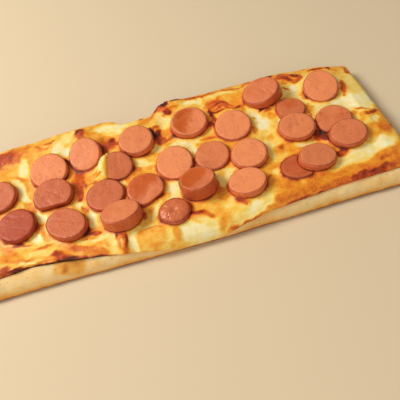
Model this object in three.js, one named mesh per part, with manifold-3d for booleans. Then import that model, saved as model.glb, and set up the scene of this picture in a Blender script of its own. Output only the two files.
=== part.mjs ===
// A long flat pizza, baked in one piece: a slab of crust with rounded flanks, a skin of browned
// cheese that hangs over its edges, and sausage slices that lie sunk in the cheese.
// Millimetres. +X runs along the long side, +Y to the back and +Z up; the origin lies under the
// middle of the slab, on the surface that it rests on.

import * as THREE from 'three';
import Module from 'manifold-3d';
import { mergeVertices } from 'three/addons/utils/BufferGeometryUtils.js';

const wasm = await Module();
wasm.setup();

// ---------------------------------------------------------------- driving dimensions

const LENGTH = 306;             // crust, from end to end
const WIDTH = 117;              // crust, from front to back
const CRUST_RISE = 10.2;        // height of the crust in the middle of the slab
const FOOT = 1.2;               // height of the small undercut all round the bottom
const UNDERCUT = 0.9;           // how far the bottom face is set in behind the foot
const FRONT_RUN = 10.5;         // how far the rounded flank reaches in, at the front
const BACK_RUN = 5.5;           // the same at the back, which is steeper
const END_RUN = 6.5;            // the same at both ends
const FRONT_SET_IN = 1.2;       // the front foot line, behind half the width
const BACK_SET_IN = 0.5;        // the back foot line, before half the width
const BACK_TAPER = 2.9;         // how far the back edge has come in before the right corner
const TAPER_FROM = 94;          // where that starts, along the back
const TAPER_TO = 122;           // where it ends
const CORNER_PULL = 9;          // how much further the back right corner is pulled in
const CORNER_FROM = 120;        // where that starts
const CORNER_BEYOND = 3;        // how far past the right end its curve would run on
const CORNER_DROP = 2.6;        // how much thinner the slab is there
const FRONT_BOW = 1.2;          // how far the front bulges out
const BOW_AT = 6;               // where, along the front
const BOW_LONG = 45;            // how far that reaches to each side
const BACK_NICK = 7.4;          // how far the back edge is drawn in at one place
const NICK_LEFT = [-26, -14];   // where, along the back, it starts and is full
const NICK_RIGHT = [5.5, 12];   // where it is still full and ends
const END_SLANT = 2.2;          // how much shorter the slab is along its back
const SLANT_FROM = -40;         // where the right end starts to slant in, from front to back
const SLANT_TO = 45;            // where it ends
const RIM_RISE = 1.5;           // the rolled rim, above the middle
const RIM_IN = 13;              // the rim's crest, in from the foot
const RIM_WIDE = 6;             // half the width of the rim's roll

const CHEESE_THICK = 2.5;       // the cheese in the middle of the slab
const CHEESE_HEM = 1.1;         // the cheese at its lower edge
const CHEESE_BUMP = 0.8;        // its hills and hollows, above and below
const DRAWN_UP = 0.9;           // how far the cheese climbs a slice that is tipped or lifted
const MOST_DRAWN = 4.5;         // the most that it rises to do so
const CHEESE_HIDDEN = 1.6;      // how deep the uncut skin starts inside the crust

const GAP = 0.35;               // clearance between pieces that touch
const SINK = 1.5;               // how deep a slice is sunk in the cheese
const SLICE_BEVEL = 0.9;        // the soft edge round a cut face
const SLICE_SIDES = 16;
const TOO_FAR_TO_TOUCH = 30;    // between the middles of two slices

// ---------------------------------------------------------------- where the cheese ends

// How far down the rounded flank the cheese hangs, in degrees from the flat top, at places along
// the front: 0 stops on the top, 90 would reach the foot.
const FRONT_HANG = [
  [-150, 22], [-100, 10], [-83, 4], [-71, 9], [-53, 21], [-41, 31], [-29, 42], [-17, 53],
  [-6, 68], [12, 82], [26, 82], [34, 75], [46, 56], [58, 44], [81, 35], [105, 27], [150, 24],
];
const BACK_HANG = 52;
const END_HANG = 60;

// The burnt lip at the front left stands off the flank, with a gap under it.
const LIP_FROM = -92;
const LIP_TO = -40;
const LIP_OUT = 1.4;

// Crisp lumps on the back edge: place, half length, half width and height.
const LUMPS = [
  { x: 22, y: 52.5, long: 7, wide: 4, high: 2.8 },
  { x: -2.5, y: 46, long: 3, wide: 2.5, high: 1 },
  { x: -41, y: 50, long: 4, wide: 3, high: 1.6 },
];

// ---------------------------------------------------------------- sausage slices

// x and y are the middle of the slice; wide and deep are its size along X and Y, before it is turned
// by `turn` degrees; tall is its thickness. lean is how far its face tips, in degrees, towards the
// compass angle `to` (0 is +X, 90 is +Y). lift raises it above the others, rise is how much higher it
// is cut in front than behind, dome how far its face swells, or sags where it is negative, and chord
// where its front is cut off straight. A later slice lies on an earlier one.
const SLICES = [
  { x: -102, y: 9.2, wide: 24.6, deep: 24.5, tall: 5.4, lean: 6, to: 280 },
  { x: -89.5, y: -17.5, wide: 24.2, deep: 23.4, tall: 5.8, lean: 5, to: 300 },
  { x: -67.7, y: 20, wide: 25.8, deep: 27.2, tall: 5.4, lean: 11, to: 285, turn: 10 },
  { x: -65.5, y: -1.5, wide: 26, deep: 24, tall: 5, lean: 9, to: 285, lift: 1.2, chord: 8.6 },
  { x: -41.9, y: 25.8, wide: 22.4, deep: 24.8, tall: 6, lean: 20, to: 262, turn: -8 },
  { x: -7.2, y: 23.7, wide: 24, deep: 24, tall: 7.6, lean: 8, to: 290, turn: -15 },
  { x: 30.2, y: 27, wide: 25.6, deep: 24, tall: 6.4, lean: 8, to: 275, dome: -1 },
  { x: 57.4, y: 14, wide: 24.8, deep: 25, tall: 5.2, lean: 8, to: 262, turn: -20 },
  { x: 60.2, y: -13.8, wide: 23, deep: 22.6, tall: 5.6, lean: 7, to: 260, lift: 0.4, turn: -25 },
  { x: 38.2, y: -6.2, wide: 22.6, deep: 22.6, tall: 5, lean: 8, to: 265 },
  { x: 14.2, y: -3.4, wide: 24.2, deep: 25.6, tall: 5.4, lean: 9, to: 273 },
  { x: 52.8, y: -35.6, wide: 23.8, deep: 20.6, tall: 7, lean: 3, to: 100 },
  { x: -22.8, y: 7.6, wide: 21.4, deep: 21.6, tall: 5, lean: 16, to: 295 },
  { x: -7.4, y: -17, wide: 24.2, deep: 25, tall: 4.8, lean: 4, to: 280, dome: 0.5, turn: 27, chord: 10 },
  { x: -32.6, y: -12.6, wide: 24.8, deep: 23.2, tall: 5, lean: 6, to: 287, turn: 10 },
  { x: 122.2, y: 26.1, wide: 23, deep: 25.8, tall: 5.2, lean: 16, to: 246 },
  { x: 85, y: -33.2, wide: 22.6, deep: 19.2, tall: 4.2, lean: 2, to: 80, lift: -0.5 },
  { x: 97, y: -31.2, wide: 23.2, deep: 20, tall: 5, lean: 8, to: 20, lift: 1.8 },
  { x: 118.3, y: -5.2, wide: 23.6, deep: 23.4, tall: 5, lean: 4, to: 245 },
  { x: 120.8, y: -20.4, wide: 23.2, deep: 19.8, tall: 5, lean: 9, to: 270, lift: 1.8 },
  { x: 97, y: 14.4, wide: 19.6, deep: 21.8, tall: 4.6, lean: 3, to: 90 },
  { x: 94.4, y: -3.6, wide: 23.4, deep: 20.8, tall: 5.6, lean: 9, to: 262, lift: 1.2, turn: -15 },
  { x: 84.2, y: 33.8, wide: 26, deep: 22.6, tall: 8.4, lean: 13, to: 192 },
  { x: -57.7, y: -27.5, wide: 26.6, deep: 21.4, tall: 7, lean: 3, to: 290, turn: -32 },
  { x: -24, y: -32.8, wide: 24.8, deep: 20.6, tall: 10.4, lean: 3, to: 90, rise: 5.2 },
  { x: 24.7, y: -26.4, wide: 22.8, deep: 21.2, tall: 11.2, lean: 2, to: 90, rise: 3.6, dome: -1 },
  { x: -122, y: 29, wide: 24, deep: 23.6, tall: 5.4, lean: 5, to: 30 },
  { x: -131, y: 0, wide: 24.6, deep: 22.6, tall: 5.6, lean: 4, to: 200 },
  { x: -117.5, y: -30, wide: 24.2, deep: 22.4, tall: 5.2, lean: 6, to: 250 },
  { x: -132, y: -34, wide: 23.4, deep: 21.8, tall: 5, lean: 6, to: 165, lift: 1.6 },
];

// One slice is the rounded end of a sausage, with a puckered middle.
const END_PIECE = { x: 7, y: -39.5, wide: 20.8, deep: 19, tall: 6.6, lean: 4, to: 276 };
const PUCKER = 1.6;

// ---------------------------------------------------------------- small helpers

function lerp(a, b, t) {
  return a + (b - a) * t;
}

function smooth(from, to, value) {
  return THREE.MathUtils.smoothstep(value, from, to);
}

// The value at x of a smooth curve that passes through [x, value] knots.
function through(knots, x) {
  let k = 1;
  while (k < knots.length - 1 && x > knots[k][0]) k += 1;
  const [x0, v0] = knots[k - 1];
  const [x1, v1] = knots[k];
  return lerp(v0, v1, smooth(x0, x1, x));
}

// A fixed random value between -1 and 1 for each corner of a grid.
function cornerValue(i, j, seed) {
  let h = Math.imul(i, 374761393) + Math.imul(j, 668265263) + Math.imul(seed, 1274126177);
  h = Math.imul(h ^ (h >>> 13), 1103515245);
  return ((h ^ (h >>> 16)) >>> 0) / 2147483648 - 1;
}

// Smooth random hills between -1 and 1, about `size` millimetres apart.
function hills(x, y, size, seed) {
  const i = Math.floor(x / size);
  const j = Math.floor(y / size);
  const u = smooth(0, 1, x / size - i);
  const v = smooth(0, 1, y / size - j);
  const front = lerp(cornerValue(i, j, seed), cornerValue(i + 1, j, seed), u);
  const back = lerp(cornerValue(i, j + 1, seed), cornerValue(i + 1, j + 1, seed), u);
  return lerp(front, back, v);
}

// A bump of height 1 at the middle that dies away in every direction.
function bump(dx, dy) {
  return Math.exp(-(dx * dx + dy * dy));
}

// ---------------------------------------------------------------- the slab's outline and height

// Each foot line runs along one side of the slab, a little uneven.
function frontFoot(x) {
  const bow = FRONT_BOW * bump((x - BOW_AT) / BOW_LONG, 0);
  return FRONT_SET_IN - WIDTH / 2 - bow + 0.4 * hills(x, 0, 38, 1);
}

function backFoot(x) {
  const taper = BACK_TAPER * smooth(TAPER_FROM, TAPER_TO, x);
  const corner = CORNER_PULL * smooth(CORNER_FROM, LENGTH / 2 + CORNER_BEYOND, x);
  const nick = BACK_NICK * (smooth(...NICK_LEFT, x) - smooth(...NICK_RIGHT, x));
  return WIDTH / 2 - BACK_SET_IN - taper - corner - nick + 0.8 * hills(x, 0, 29, 2);
}

const leftFoot = (y) => 1 - LENGTH / 2 + hills(y, 0, 31, 3);

function rightFoot(y) {
  return LENGTH / 2 - END_SLANT * smooth(SLANT_FROM, SLANT_TO, y) + 0.6 * hills(y, 0, 27, 4);
}

// How far a point lies in from the nearest side of the slab.
function inFromEdge(x, y) {
  return Math.min(y - frontFoot(x), backFoot(x) - y, x - leftFoot(y), rightFoot(y) - x);
}

// The crust's height over a point: a flat middle, a rolled rim and a thin back right corner.
function crustHeight(x, y) {
  const fromCrest = (inFromEdge(x, y) - RIM_IN) / RIM_WIDE;
  const rim = RIM_RISE * bump(fromCrest, 0) * (1 + 0.6 * hills(x, y, 34, 5));
  const corner = CORNER_DROP * smooth(60, LENGTH / 2, x) * smooth(-20, WIDTH / 2, y);
  return CRUST_RISE + rim - corner + 0.5 * hills(x, y, 26, 6);
}

// The cheese's own thickness over a point, measured up from the crust: hills, hollows and lumps.
function plainThickness(x, y, round) {
  let thick = lerp(CHEESE_THICK, CHEESE_HEM, smooth(0, 1, round));
  thick += CHEESE_BUMP * (1 - 0.6 * round) * (0.6 * hills(x, y, 17, 7) + 0.4 * hills(x, y, 9, 8));
  for (const lump of LUMPS) thick += lump.high * bump((x - lump.x) / lump.long, (y - lump.y) / lump.wide);
  return thick;
}

// The height of the middle of a slice's underside.
function seatHeight(slice) {
  const plainTop = crustHeight(slice.x, slice.y) + plainThickness(slice.x, slice.y, 0);
  const halfTip = 0.25 * slice.wide * Math.sin(THREE.MathUtils.degToRad(slice.lean));
  return plainTop - SINK + halfTip + (slice.lift ?? 0);
}

// The cheese's thickness over a point, drawn up to the underside of a slice that is tipped or lifted.
function cheeseThickness(x, y, round) {
  const plain = plainThickness(x, y, round);
  let drawn = plain;
  for (const slice of SLICES) {
    const dx = x - slice.x;
    const dy = y - slice.y;
    const near = 1 - smooth(0.85, 1.3, Math.hypot(dx / (slice.wide / 2), dy / (slice.deep / 2)));
    if (near <= 0) continue;
    const to = THREE.MathUtils.degToRad(slice.to);
    const downhill = Math.tan(THREE.MathUtils.degToRad(slice.lean)) * (dx * Math.cos(to) + dy * Math.sin(to));
    const underside = seatHeight(slice) - downhill + DRAWN_UP - crustHeight(x, y);
    drawn = Math.max(drawn, lerp(plain, Math.min(underside, plain + MOST_DRAWN), near));
  }
  return drawn;
}

// ---------------------------------------------------------------- the slab's rounded surface

// Grid stations in one direction. `place` runs from 0 to 1 over the flat; `round` is 0 on the flat
// and grows to 1 round the high edge, or falls to -1 round the low edge.
function stations(flatSteps, roundSteps) {
  const list = [];
  for (let k = roundSteps; k > 0; k--) list.push({ place: 0, round: -k / roundSteps });
  for (let k = 0; k <= flatSteps; k++) list.push({ place: k / flatSteps, round: 0 });
  for (let k = 1; k <= roundSteps; k++) list.push({ place: 1, round: k / roundSteps });
  return list;
}

// The point of the slab's surface at a column and a row, raised by above(x, y, round) square to the
// surface. hang(x) gives how far the surface goes down the flanks, in degrees from the flat.
function surfacePoint(column, row, above, hang) {
  const yGuess = lerp(-WIDTH / 2, WIDTH / 2, row.place);
  const xFlat = lerp(leftFoot(yGuess) + END_RUN, rightFoot(yGuess) - END_RUN, column.place);
  const yFlat = lerp(frontFoot(xFlat) + FRONT_RUN, backFoot(xFlat) - BACK_RUN, row.place);
  const sideHang = row.round < 0 ? hang.front(xFlat) : hang.back;
  const u = Math.sin(THREE.MathUtils.degToRad(Math.abs(column.round) * hang.end));
  const v = Math.sin(THREE.MathUtils.degToRad(Math.abs(row.round) * sideHang));
  // Where both directions turn down, the square corner of the grid is drawn in to a round one.
  const out = Math.max(u, v);
  const draw = out > 0 ? out / Math.hypot(u, v) : 0;
  const round = Math.max(Math.abs(column.round), Math.abs(row.round));
  const raise = above(xFlat, yFlat, round);
  const sideRun = row.round < 0 ? FRONT_RUN : BACK_RUN;
  const x = xFlat + Math.sign(column.round) * (END_RUN + raise) * u * draw;
  const y = yFlat + Math.sign(row.round) * (sideRun + raise) * v * draw;
  const rise = crustHeight(xFlat, yFlat) - FOOT + raise;
  return new THREE.Vector3(x, y, FOOT + rise * Math.sqrt(1 - out * out));
}

// A grid of points as triangles that face up, or down when flipped.
function addGrid(triangles, points, flipped) {
  for (let i = 0; i < points.length - 1; i++) {
    for (let j = 0; j < points[i].length - 1; j++) {
      const a = points[i][j];
      const b = points[i + 1][j];
      const c = points[i + 1][j + 1];
      const d = points[i][j + 1];
      if (flipped) triangles.push(a, c, b, a, d, c);
      else triangles.push(a, b, c, a, c, d);
    }
  }
}

// The points round the border of a grid, anticlockwise from above.
function border(points) {
  const columns = points.length - 1;
  const rows = points[0].length - 1;
  const ring = [];
  for (let i = 0; i < columns; i++) ring.push(points[i][0]);
  for (let j = 0; j < rows; j++) ring.push(points[columns][j]);
  for (let i = columns; i > 0; i--) ring.push(points[i][rows]);
  for (let j = rows; j > 0; j--) ring.push(points[0][j]);
  return ring;
}

// A wall between an upper and a lower ring of as many points.
function addWall(triangles, upper, lower) {
  for (let k = 0; k < upper.length; k++) {
    const next = (k + 1) % upper.length;
    triangles.push(lower[k], lower[next], upper[next], lower[k], upper[next], upper[k]);
  }
}

// A flat lid, facing down, on a ring.
function addFloor(triangles, ring) {
  const faces = THREE.ShapeUtils.triangulateShape(ring, []);
  for (const [a, b, c] of faces) triangles.push(ring[a], ring[c], ring[b]);
}

// ---------------------------------------------------------------- solids

// A closed solid from any geometry whose faces point out.
function solidOf(geometry) {
  const bare = geometry.clone();
  bare.deleteAttribute('normal');
  bare.deleteAttribute('uv');
  const merged = mergeVertices(bare);
  const corners = merged.index.array;
  const kept = [];
  for (let k = 0; k < corners.length; k += 3) {
    const [a, b, c] = corners.slice(k, k + 3);
    if (a !== b && b !== c && c !== a) kept.push(a, b, c);
  }
  const mesh = new wasm.Mesh({
    numProp: 3,
    vertProperties: new Float32Array(merged.attributes.position.array),
    triVerts: new Uint32Array(kept),
  });
  return new wasm.Manifold(mesh);
}

function solidOfTriangles(triangles) {
  return solidOf(new THREE.BufferGeometry().setFromPoints(triangles));
}

// The geometry of the largest body of a solid, without the scraps that a cut may leave.
function geometryOf(solid) {
  const bodies = solid.decompose();
  bodies.sort((a, b) => b.volume() - a.volume());
  const mesh = bodies[0].getMesh();
  const geometry = new THREE.BufferGeometry();
  geometry.setAttribute('position', new THREE.BufferAttribute(mesh.vertProperties, 3));
  geometry.setIndex(new THREE.BufferAttribute(mesh.triVerts, 1));
  geometry.computeVertexNormals();
  return geometry;
}

// The crust, or the same form grown by `grow` on every side, for cutting.
function crustSolid(grow) {
  const columns = stations(31, 5);
  const rows = stations(9, 5);
  const wholeFlank = { front: () => 90, back: 90, end: 90 };
  const top = columns.map((column) => rows.map((row) => surfacePoint(column, row, () => grow, wholeFlank)));
  const foot = border(top);
  const shrinkX = 1 - UNDERCUT / (LENGTH / 2);
  const shrinkY = 1 - UNDERCUT / (WIDTH / 2);
  const floor = foot.map((p) => new THREE.Vector3(p.x * shrinkX, p.y * shrinkY, 0));
  const triangles = [];
  addGrid(triangles, top, false);
  addWall(triangles, foot, floor);
  addFloor(triangles, floor);
  return solidOfTriangles(triangles);
}

// The cheese before it is fitted to the crust and the slices: a skin that starts inside the crust.
function cheeseSkin() {
  const columns = stations(42, 4);
  const rows = stations(16, 4);
  const hang = { front: (x) => through(FRONT_HANG, x), back: BACK_HANG, end: END_HANG };
  const lipAt = (x, y, round) => {
    const along = smooth(LIP_FROM, LIP_FROM + 14, x) * (1 - smooth(LIP_TO - 14, LIP_TO, x));
    return y < 0 ? LIP_OUT * along * smooth(0.4, 1, round) : 0;
  };
  const outer = (x, y, round) => cheeseThickness(x, y, round) + lipAt(x, y, round);
  const inner = (x, y, round) => lipAt(x, y, round) * 2 - CHEESE_HIDDEN;
  const top = columns.map((column) => rows.map((row) => surfacePoint(column, row, outer, hang)));
  const bottom = columns.map((column) => rows.map((row) => surfacePoint(column, row, inner, hang)));
  const triangles = [];
  addGrid(triangles, top, false);
  addGrid(triangles, bottom, true);
  addWall(triangles, border(top), border(bottom));
  return solidOfTriangles(triangles);
}

// A slice as it stands on its own, or grown by `grow` on every side, for cutting.
function sliceSolid(slice, grow) {
  const radius = slice.wide / 2 + grow;
  const high = slice.tall + grow;
  const dome = slice.dome ?? 0;
  const profile = [
    new THREE.Vector2(0, -grow),
    new THREE.Vector2(radius, -grow),
    new THREE.Vector2(radius, high - SLICE_BEVEL),
    new THREE.Vector2(radius - SLICE_BEVEL, high),
  ];
  if (dome !== 0) profile.push(new THREE.Vector2(radius * 0.5, high + dome * 0.75));
  profile.push(new THREE.Vector2(0, high + dome));
  const geometry = new THREE.LatheGeometry(profile, SLICE_SIDES);
  geometry.rotateX(Math.PI / 2);
  geometry.scale(1, (slice.deep / 2 + grow) / radius, 1);
  const chord = (slice.chord ?? slice.deep / 2) + grow;
  const slope = (slice.rise ?? 0) / slice.deep;
  const point = geometry.attributes.position;
  for (let k = 0; k < point.count; k++) {
    point.setY(k, Math.max(point.getY(k), -chord));
    if (point.getZ(k) > slice.tall / 2) point.setZ(k, point.getZ(k) - slope * point.getY(k));
  }
  geometry.rotateZ(THREE.MathUtils.degToRad(slice.turn ?? 0));
  return solidOf(geometry);
}

// The rounded end of a sausage: a dome over a short side, with a pucker pressed into its top.
function endPieceSolid(piece, grow) {
  const radius = piece.wide / 2 + grow;
  const profile = [new THREE.Vector2(0, -grow), new THREE.Vector2(radius * 0.93, -grow)];
  const steps = 6;
  for (let k = 1; k <= steps; k++) {
    const angle = (k / steps) * (Math.PI / 2);
    const across = radius * Math.cos(angle * 0.999);
    const height = piece.tall * 0.45 + (piece.tall * 0.55 + grow) * Math.sin(angle);
    const pucker = PUCKER * bump(across / (radius * 0.22), 0);
    profile.push(new THREE.Vector2(k === steps ? 0 : across, height - pucker));
  }
  const geometry = new THREE.LatheGeometry(profile, SLICE_SIDES);
  geometry.rotateX(Math.PI / 2);
  geometry.scale(1, (piece.deep / 2 + grow) / radius, 1);
  return solidOf(geometry);
}

// Where a slice lies: sunk in the cheese, with its face tipped towards slice.to.
function placeOf(slice) {
  const to = THREE.MathUtils.degToRad(slice.to);
  const axis = new THREE.Vector3(-Math.sin(to), Math.cos(to), 0);
  const tip = new THREE.Quaternion().setFromAxisAngle(axis, THREE.MathUtils.degToRad(slice.lean));
  return { position: new THREE.Vector3(slice.x, slice.y, seatHeight(slice)), tip };
}

// ---------------------------------------------------------------- the model

const materials = {
  crust: { color: 0xe2b06c, roughness: 0.85, metalness: 0 },
  cheese: { color: 0xf3c56a, roughness: 0.5, metalness: 0 },
  sausage: { color: 0xcf7450, roughness: 0.45, metalness: 0 },
};

function addMesh(group, name, geometry, look) {
  const mesh = new THREE.Mesh(geometry, new THREE.MeshStandardMaterial(look));
  mesh.name = name;
  group.add(mesh);
  return mesh;
}

const pieces = SLICES.map((slice, k) => ({
  name: `sausage_slice_${String(k + 1).padStart(2, '0')}`,
  solid: sliceSolid(slice, 0),
  cutter: sliceSolid(slice, GAP),
  ...placeOf(slice),
}));
pieces.push({
  name: 'sausage_end',
  solid: endPieceSolid(END_PIECE, 0),
  cutter: endPieceSolid(END_PIECE, GAP),
  ...placeOf(END_PIECE),
});
for (const piece of pieces) {
  piece.matrix = new THREE.Matrix4().compose(piece.position, piece.tip, new THREE.Vector3(1, 1, 1));
  piece.cutterInPlace = piece.cutter.transform(piece.matrix.elements);
}

const pizza = new THREE.Group();

// The crust has a shallow dent wherever a slice was pressed right through the cheese.
const allCutters = wasm.Manifold.union(pieces.map((piece) => piece.cutterInPlace));
addMesh(pizza, 'crust', geometryOf(crustSolid(0).subtract(allCutters)), materials.crust);
const fittedCheese = cheeseSkin().subtract(crustSolid(GAP)).subtract(allCutters);
addMesh(pizza, 'cheese', geometryOf(fittedCheese), materials.cheese);

// Each slice is pressed in where a later one lies on it.
pieces.forEach((piece, k) => {
  const home = piece.matrix.clone().invert();
  let solid = piece.solid;
  for (const above of pieces.slice(k + 1)) {
    if (above.position.distanceTo(piece.position) > TOO_FAR_TO_TOUCH) continue;
    solid = solid.subtract(above.cutterInPlace.transform(home.elements));
  }
  const mesh = addMesh(pizza, piece.name, geometryOf(solid), materials.sausage);
  mesh.position.copy(piece.position);
  mesh.quaternion.copy(piece.tip);
});

export default pizza;
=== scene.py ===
# %% [markdown]
# # A long pizza with sausage slices
# This lesson dresses a plain model of a rectangular pizza so that it looks baked. The model gives
# the true sizes and places: a slab of crust, a skin of cheese and thirty-one pieces of sausage.
# Each of them gets a finer surface here, made by code, and a finish made of shader nodes.
# Everything is in metres, +X along the long side, +Y to the back and +Z up.

# %% Load the model
import itertools
import math
import random

import bpy
import numpy as np
from mathutils import Matrix, Vector
from mathutils.bvhtree import BVHTree


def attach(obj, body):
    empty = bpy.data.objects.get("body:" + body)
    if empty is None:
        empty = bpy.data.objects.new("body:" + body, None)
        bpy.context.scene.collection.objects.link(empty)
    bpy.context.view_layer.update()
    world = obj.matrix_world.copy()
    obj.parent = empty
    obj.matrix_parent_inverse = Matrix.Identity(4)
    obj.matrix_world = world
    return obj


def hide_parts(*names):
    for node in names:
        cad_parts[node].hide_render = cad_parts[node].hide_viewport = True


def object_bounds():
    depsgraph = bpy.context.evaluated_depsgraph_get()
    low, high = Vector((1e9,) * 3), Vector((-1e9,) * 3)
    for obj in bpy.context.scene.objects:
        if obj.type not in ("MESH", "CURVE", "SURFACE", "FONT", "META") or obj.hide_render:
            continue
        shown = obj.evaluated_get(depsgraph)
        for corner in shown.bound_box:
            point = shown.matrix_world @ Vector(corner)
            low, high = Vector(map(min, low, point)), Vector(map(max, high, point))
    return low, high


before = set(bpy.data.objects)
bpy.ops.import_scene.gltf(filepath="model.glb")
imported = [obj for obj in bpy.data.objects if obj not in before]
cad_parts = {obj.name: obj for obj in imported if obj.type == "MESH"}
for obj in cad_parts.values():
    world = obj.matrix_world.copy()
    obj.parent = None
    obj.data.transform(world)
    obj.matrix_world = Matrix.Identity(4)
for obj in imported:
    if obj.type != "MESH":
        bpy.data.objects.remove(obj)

MM = 0.001
CAD_LOW, CAD_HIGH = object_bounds()
print("the model measures", [round(s / MM, 1) for s in CAD_HIGH - CAD_LOW], "mm")

# %% [markdown]
# ## The camera
# The picture looks down on the pizza from close by, so the near edge is larger than the far one.
# A camera could be turned until it looks right, but here its three directions were worked out: the
# straight front edge gives the roll, and the round slices, seen as ovals, give the height angle.

# %% Camera
PICTURE = 400
FOCAL_PIXELS = 447.5
SENSOR = 36.0
ROLL = math.radians(16.2)
LOOKS_DOWN = math.radians(54.0)
CAMERA_PLACE = Vector((23.0, -191.85, 228.4)) * MM
NEAREST_SEEN = 10 * MM


def add_camera():
    """Adds a camera whose right, up and back directions are the columns of its matrix."""
    ahead = Vector((0, math.cos(LOOKS_DOWN), -math.sin(LOOKS_DOWN)))
    level_up = Vector((0, math.sin(LOOKS_DOWN), math.cos(LOOKS_DOWN)))
    level_right = Vector((1, 0, 0))
    right = level_right * math.cos(ROLL) - level_up * math.sin(ROLL)
    up = level_right * math.sin(ROLL) + level_up * math.cos(ROLL)
    camera = bpy.data.objects.new("camera", bpy.data.cameras.new("camera"))
    bpy.context.scene.collection.objects.link(camera)
    turn = Matrix((right, up, -ahead)).transposed().to_4x4()
    camera.matrix_world = Matrix.Translation(CAMERA_PLACE) @ turn
    camera.data.sensor_width = SENSOR
    camera.data.lens = SENSOR * FOCAL_PIXELS / PICTURE
    camera.data.clip_start = NEAREST_SEEN
    bpy.context.scene.camera = camera
    return camera


camera = add_camera()
print("camera lens", round(camera.data.lens, 2), "mm")

# %% [markdown]
# ## Light and floor
# The slices are bright on top and dark on their right sides, so the main light stands high on the
# left. It is large, because the shadows are soft. A weaker one in front on the left lights the near
# flank of the crust, and a pale world fills what is left of the shadows.
# Colours are written as a painter mixes them, from 0 to 255, and turned into Blender's linear light.


# %% Colours
def paint(red, green, blue):
    """A colour as written in a paint program, in the linear light that shaders work in."""
    shares = [channel / 255 for channel in (red, green, blue)]
    linear = [c / 12.92 if c <= 0.04045 else ((c + 0.055) / 1.055) ** 2.4 for c in shares]
    return (*linear, 1.0)


# %% World, lights and floor
WORLD_COLOUR = paint(255, 251, 244)
WORLD_STRENGTH = 0.3
FLOOR_COLOUR = paint(226, 204, 168)
FLOOR_ROUGHNESS = 0.8
FLOOR_HALF = 3.0
# Name: place, size (m), power (W), colour.
LIGHTS = {
    "key": (Vector((-0.72, 0.26, 0.85)), 0.42, 10.6, (1.0, 0.97, 0.93)),
    "fill": (Vector((-0.25, -0.9, 0.62)), 0.9, 3.3, (1.0, 0.98, 0.95)),
}


def add_world():
    """A plain, pale world that lights everything a little."""
    world = bpy.data.worlds.new("studio")
    world.use_nodes = True
    background = world.node_tree.nodes["Background"]
    background.inputs["Color"].default_value = WORLD_COLOUR
    background.inputs["Strength"].default_value = WORLD_STRENGTH
    bpy.context.scene.world = world


def add_area_light(name, place, size, power, colour):
    """Adds a square soft light that faces the origin."""
    light = bpy.data.lights.new(name, "AREA")
    light.size = size
    light.energy = power
    light.color = colour
    holder = bpy.data.objects.new(name, light)
    bpy.context.scene.collection.objects.link(holder)
    holder.location = place
    holder.rotation_mode = "QUATERNION"
    holder.rotation_quaternion = (-place).to_track_quat("-Z", "Y")


def add_floor():
    """A pale matt surface for the pizza to lie on; it is scenery, not part of the model."""
    mesh = bpy.data.meshes.new("floor")
    corners = [(-1, -1, 0), (1, -1, 0), (1, 1, 0), (-1, 1, 0)]
    mesh.from_pydata([Vector(corner) * FLOOR_HALF for corner in corners], [], [(0, 1, 2, 3)])
    floor = bpy.data.objects.new("floor", mesh)
    bpy.context.scene.collection.objects.link(floor)
    finish = bpy.data.materials.new("pale_floor")
    finish.use_nodes = True
    shader = finish.node_tree.nodes["Principled BSDF"]
    shader.inputs["Base Color"].default_value = FLOOR_COLOUR
    shader.inputs["Roughness"].default_value = FLOOR_ROUGHNESS
    mesh.materials.append(finish)


add_world()
for name, settings in LIGHTS.items():
    add_area_light(name, *settings)
add_floor()
bpy.context.scene.view_settings.view_transform = "Standard"
print(len(LIGHTS), "lights, a world and a floor")

# %% [markdown]
# ## Random hills
# Nothing baked is even, so most steps below need smooth random numbers that are the same each time.
# Value noise gives them: every corner of a cubic lattice gets a fixed random value, and a point
# between eight corners gets a smooth mixture of theirs. Several sizes added up make a rough surface.
# The last number in each call is its seed: another seed gives other hills, the same one the same.


# %% Smooth random values
LATTICE_STEPS = np.array([374761393, 668265263, 362437])
SEED_STEP = 1274126177
STIR = 1103515245
LOW_BITS = 0xFFFFFFFF


def corner_values(corners, seed):
    """A fixed random value between -1 and 1 for each row of whole numbers."""
    mixed = (corners @ LATTICE_STEPS + seed * SEED_STEP) & LOW_BITS
    mixed = ((mixed ^ (mixed >> 13)) * STIR) & LOW_BITS
    return ((mixed ^ (mixed >> 16)) & LOW_BITS) / 2**31 - 1


def hills(points, size, seed):
    """Smooth random hills between -1 and 1, about `size` metres apart, at each point."""
    place = points / size
    corner = np.floor(place).astype(np.int64)
    part = place - corner
    part = part * part * (3 - 2 * part)
    total = np.zeros(len(points))
    for step in itertools.product((0, 1), repeat=3):
        weight = np.prod(np.where(step, part, 1 - part), axis=1)
        total += weight * corner_values(corner + np.array(step), seed)
    return total


def rough(points, size, seed, layers=3):
    """Hills of several sizes, each half as large and half as high as the one before."""
    total = sum(hills(points, size / 2**k, seed + k) / 2**k for k in range(layers))
    return total / sum(1 / 2**k for k in range(layers))


def uneven(points, mean, swing, size, seed):
    """A number that wavers round its mean, in patches of some size."""
    return mean + swing * rough(points, size, seed)


def smooth(low, high, value):
    """0 below low, 1 above high and a soft step between."""
    t = np.clip((value - low) / (high - low), 0, 1)
    return t * t * (3 - 2 * t)


print("hills at three points:", hills(np.eye(3), 0.7, 1).round(2))

# %% [markdown]
# ## Reading shapes from the model
# The fine pieces must lie exactly where the plain solids are. A ray that is shot at a solid tells
# where its surface is, so a few helpers shoot rays at the crust, the cheese or the slices.


# %% Rays
SOLIDS = {name: node.data for name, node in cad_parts.items()}
SLICE_NAMES = sorted(name for name in SOLIDS if name.startswith("sausage_"))
FAR = 1.0


def read_points(mesh, what="co"):
    """The places of a mesh's points, or their normals, one row each."""
    flat = np.empty(len(mesh.vertices) * 3, np.float32)
    mesh.vertices.foreach_get(what, flat)
    return flat.reshape(-1, 3).astype(float)


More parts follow.
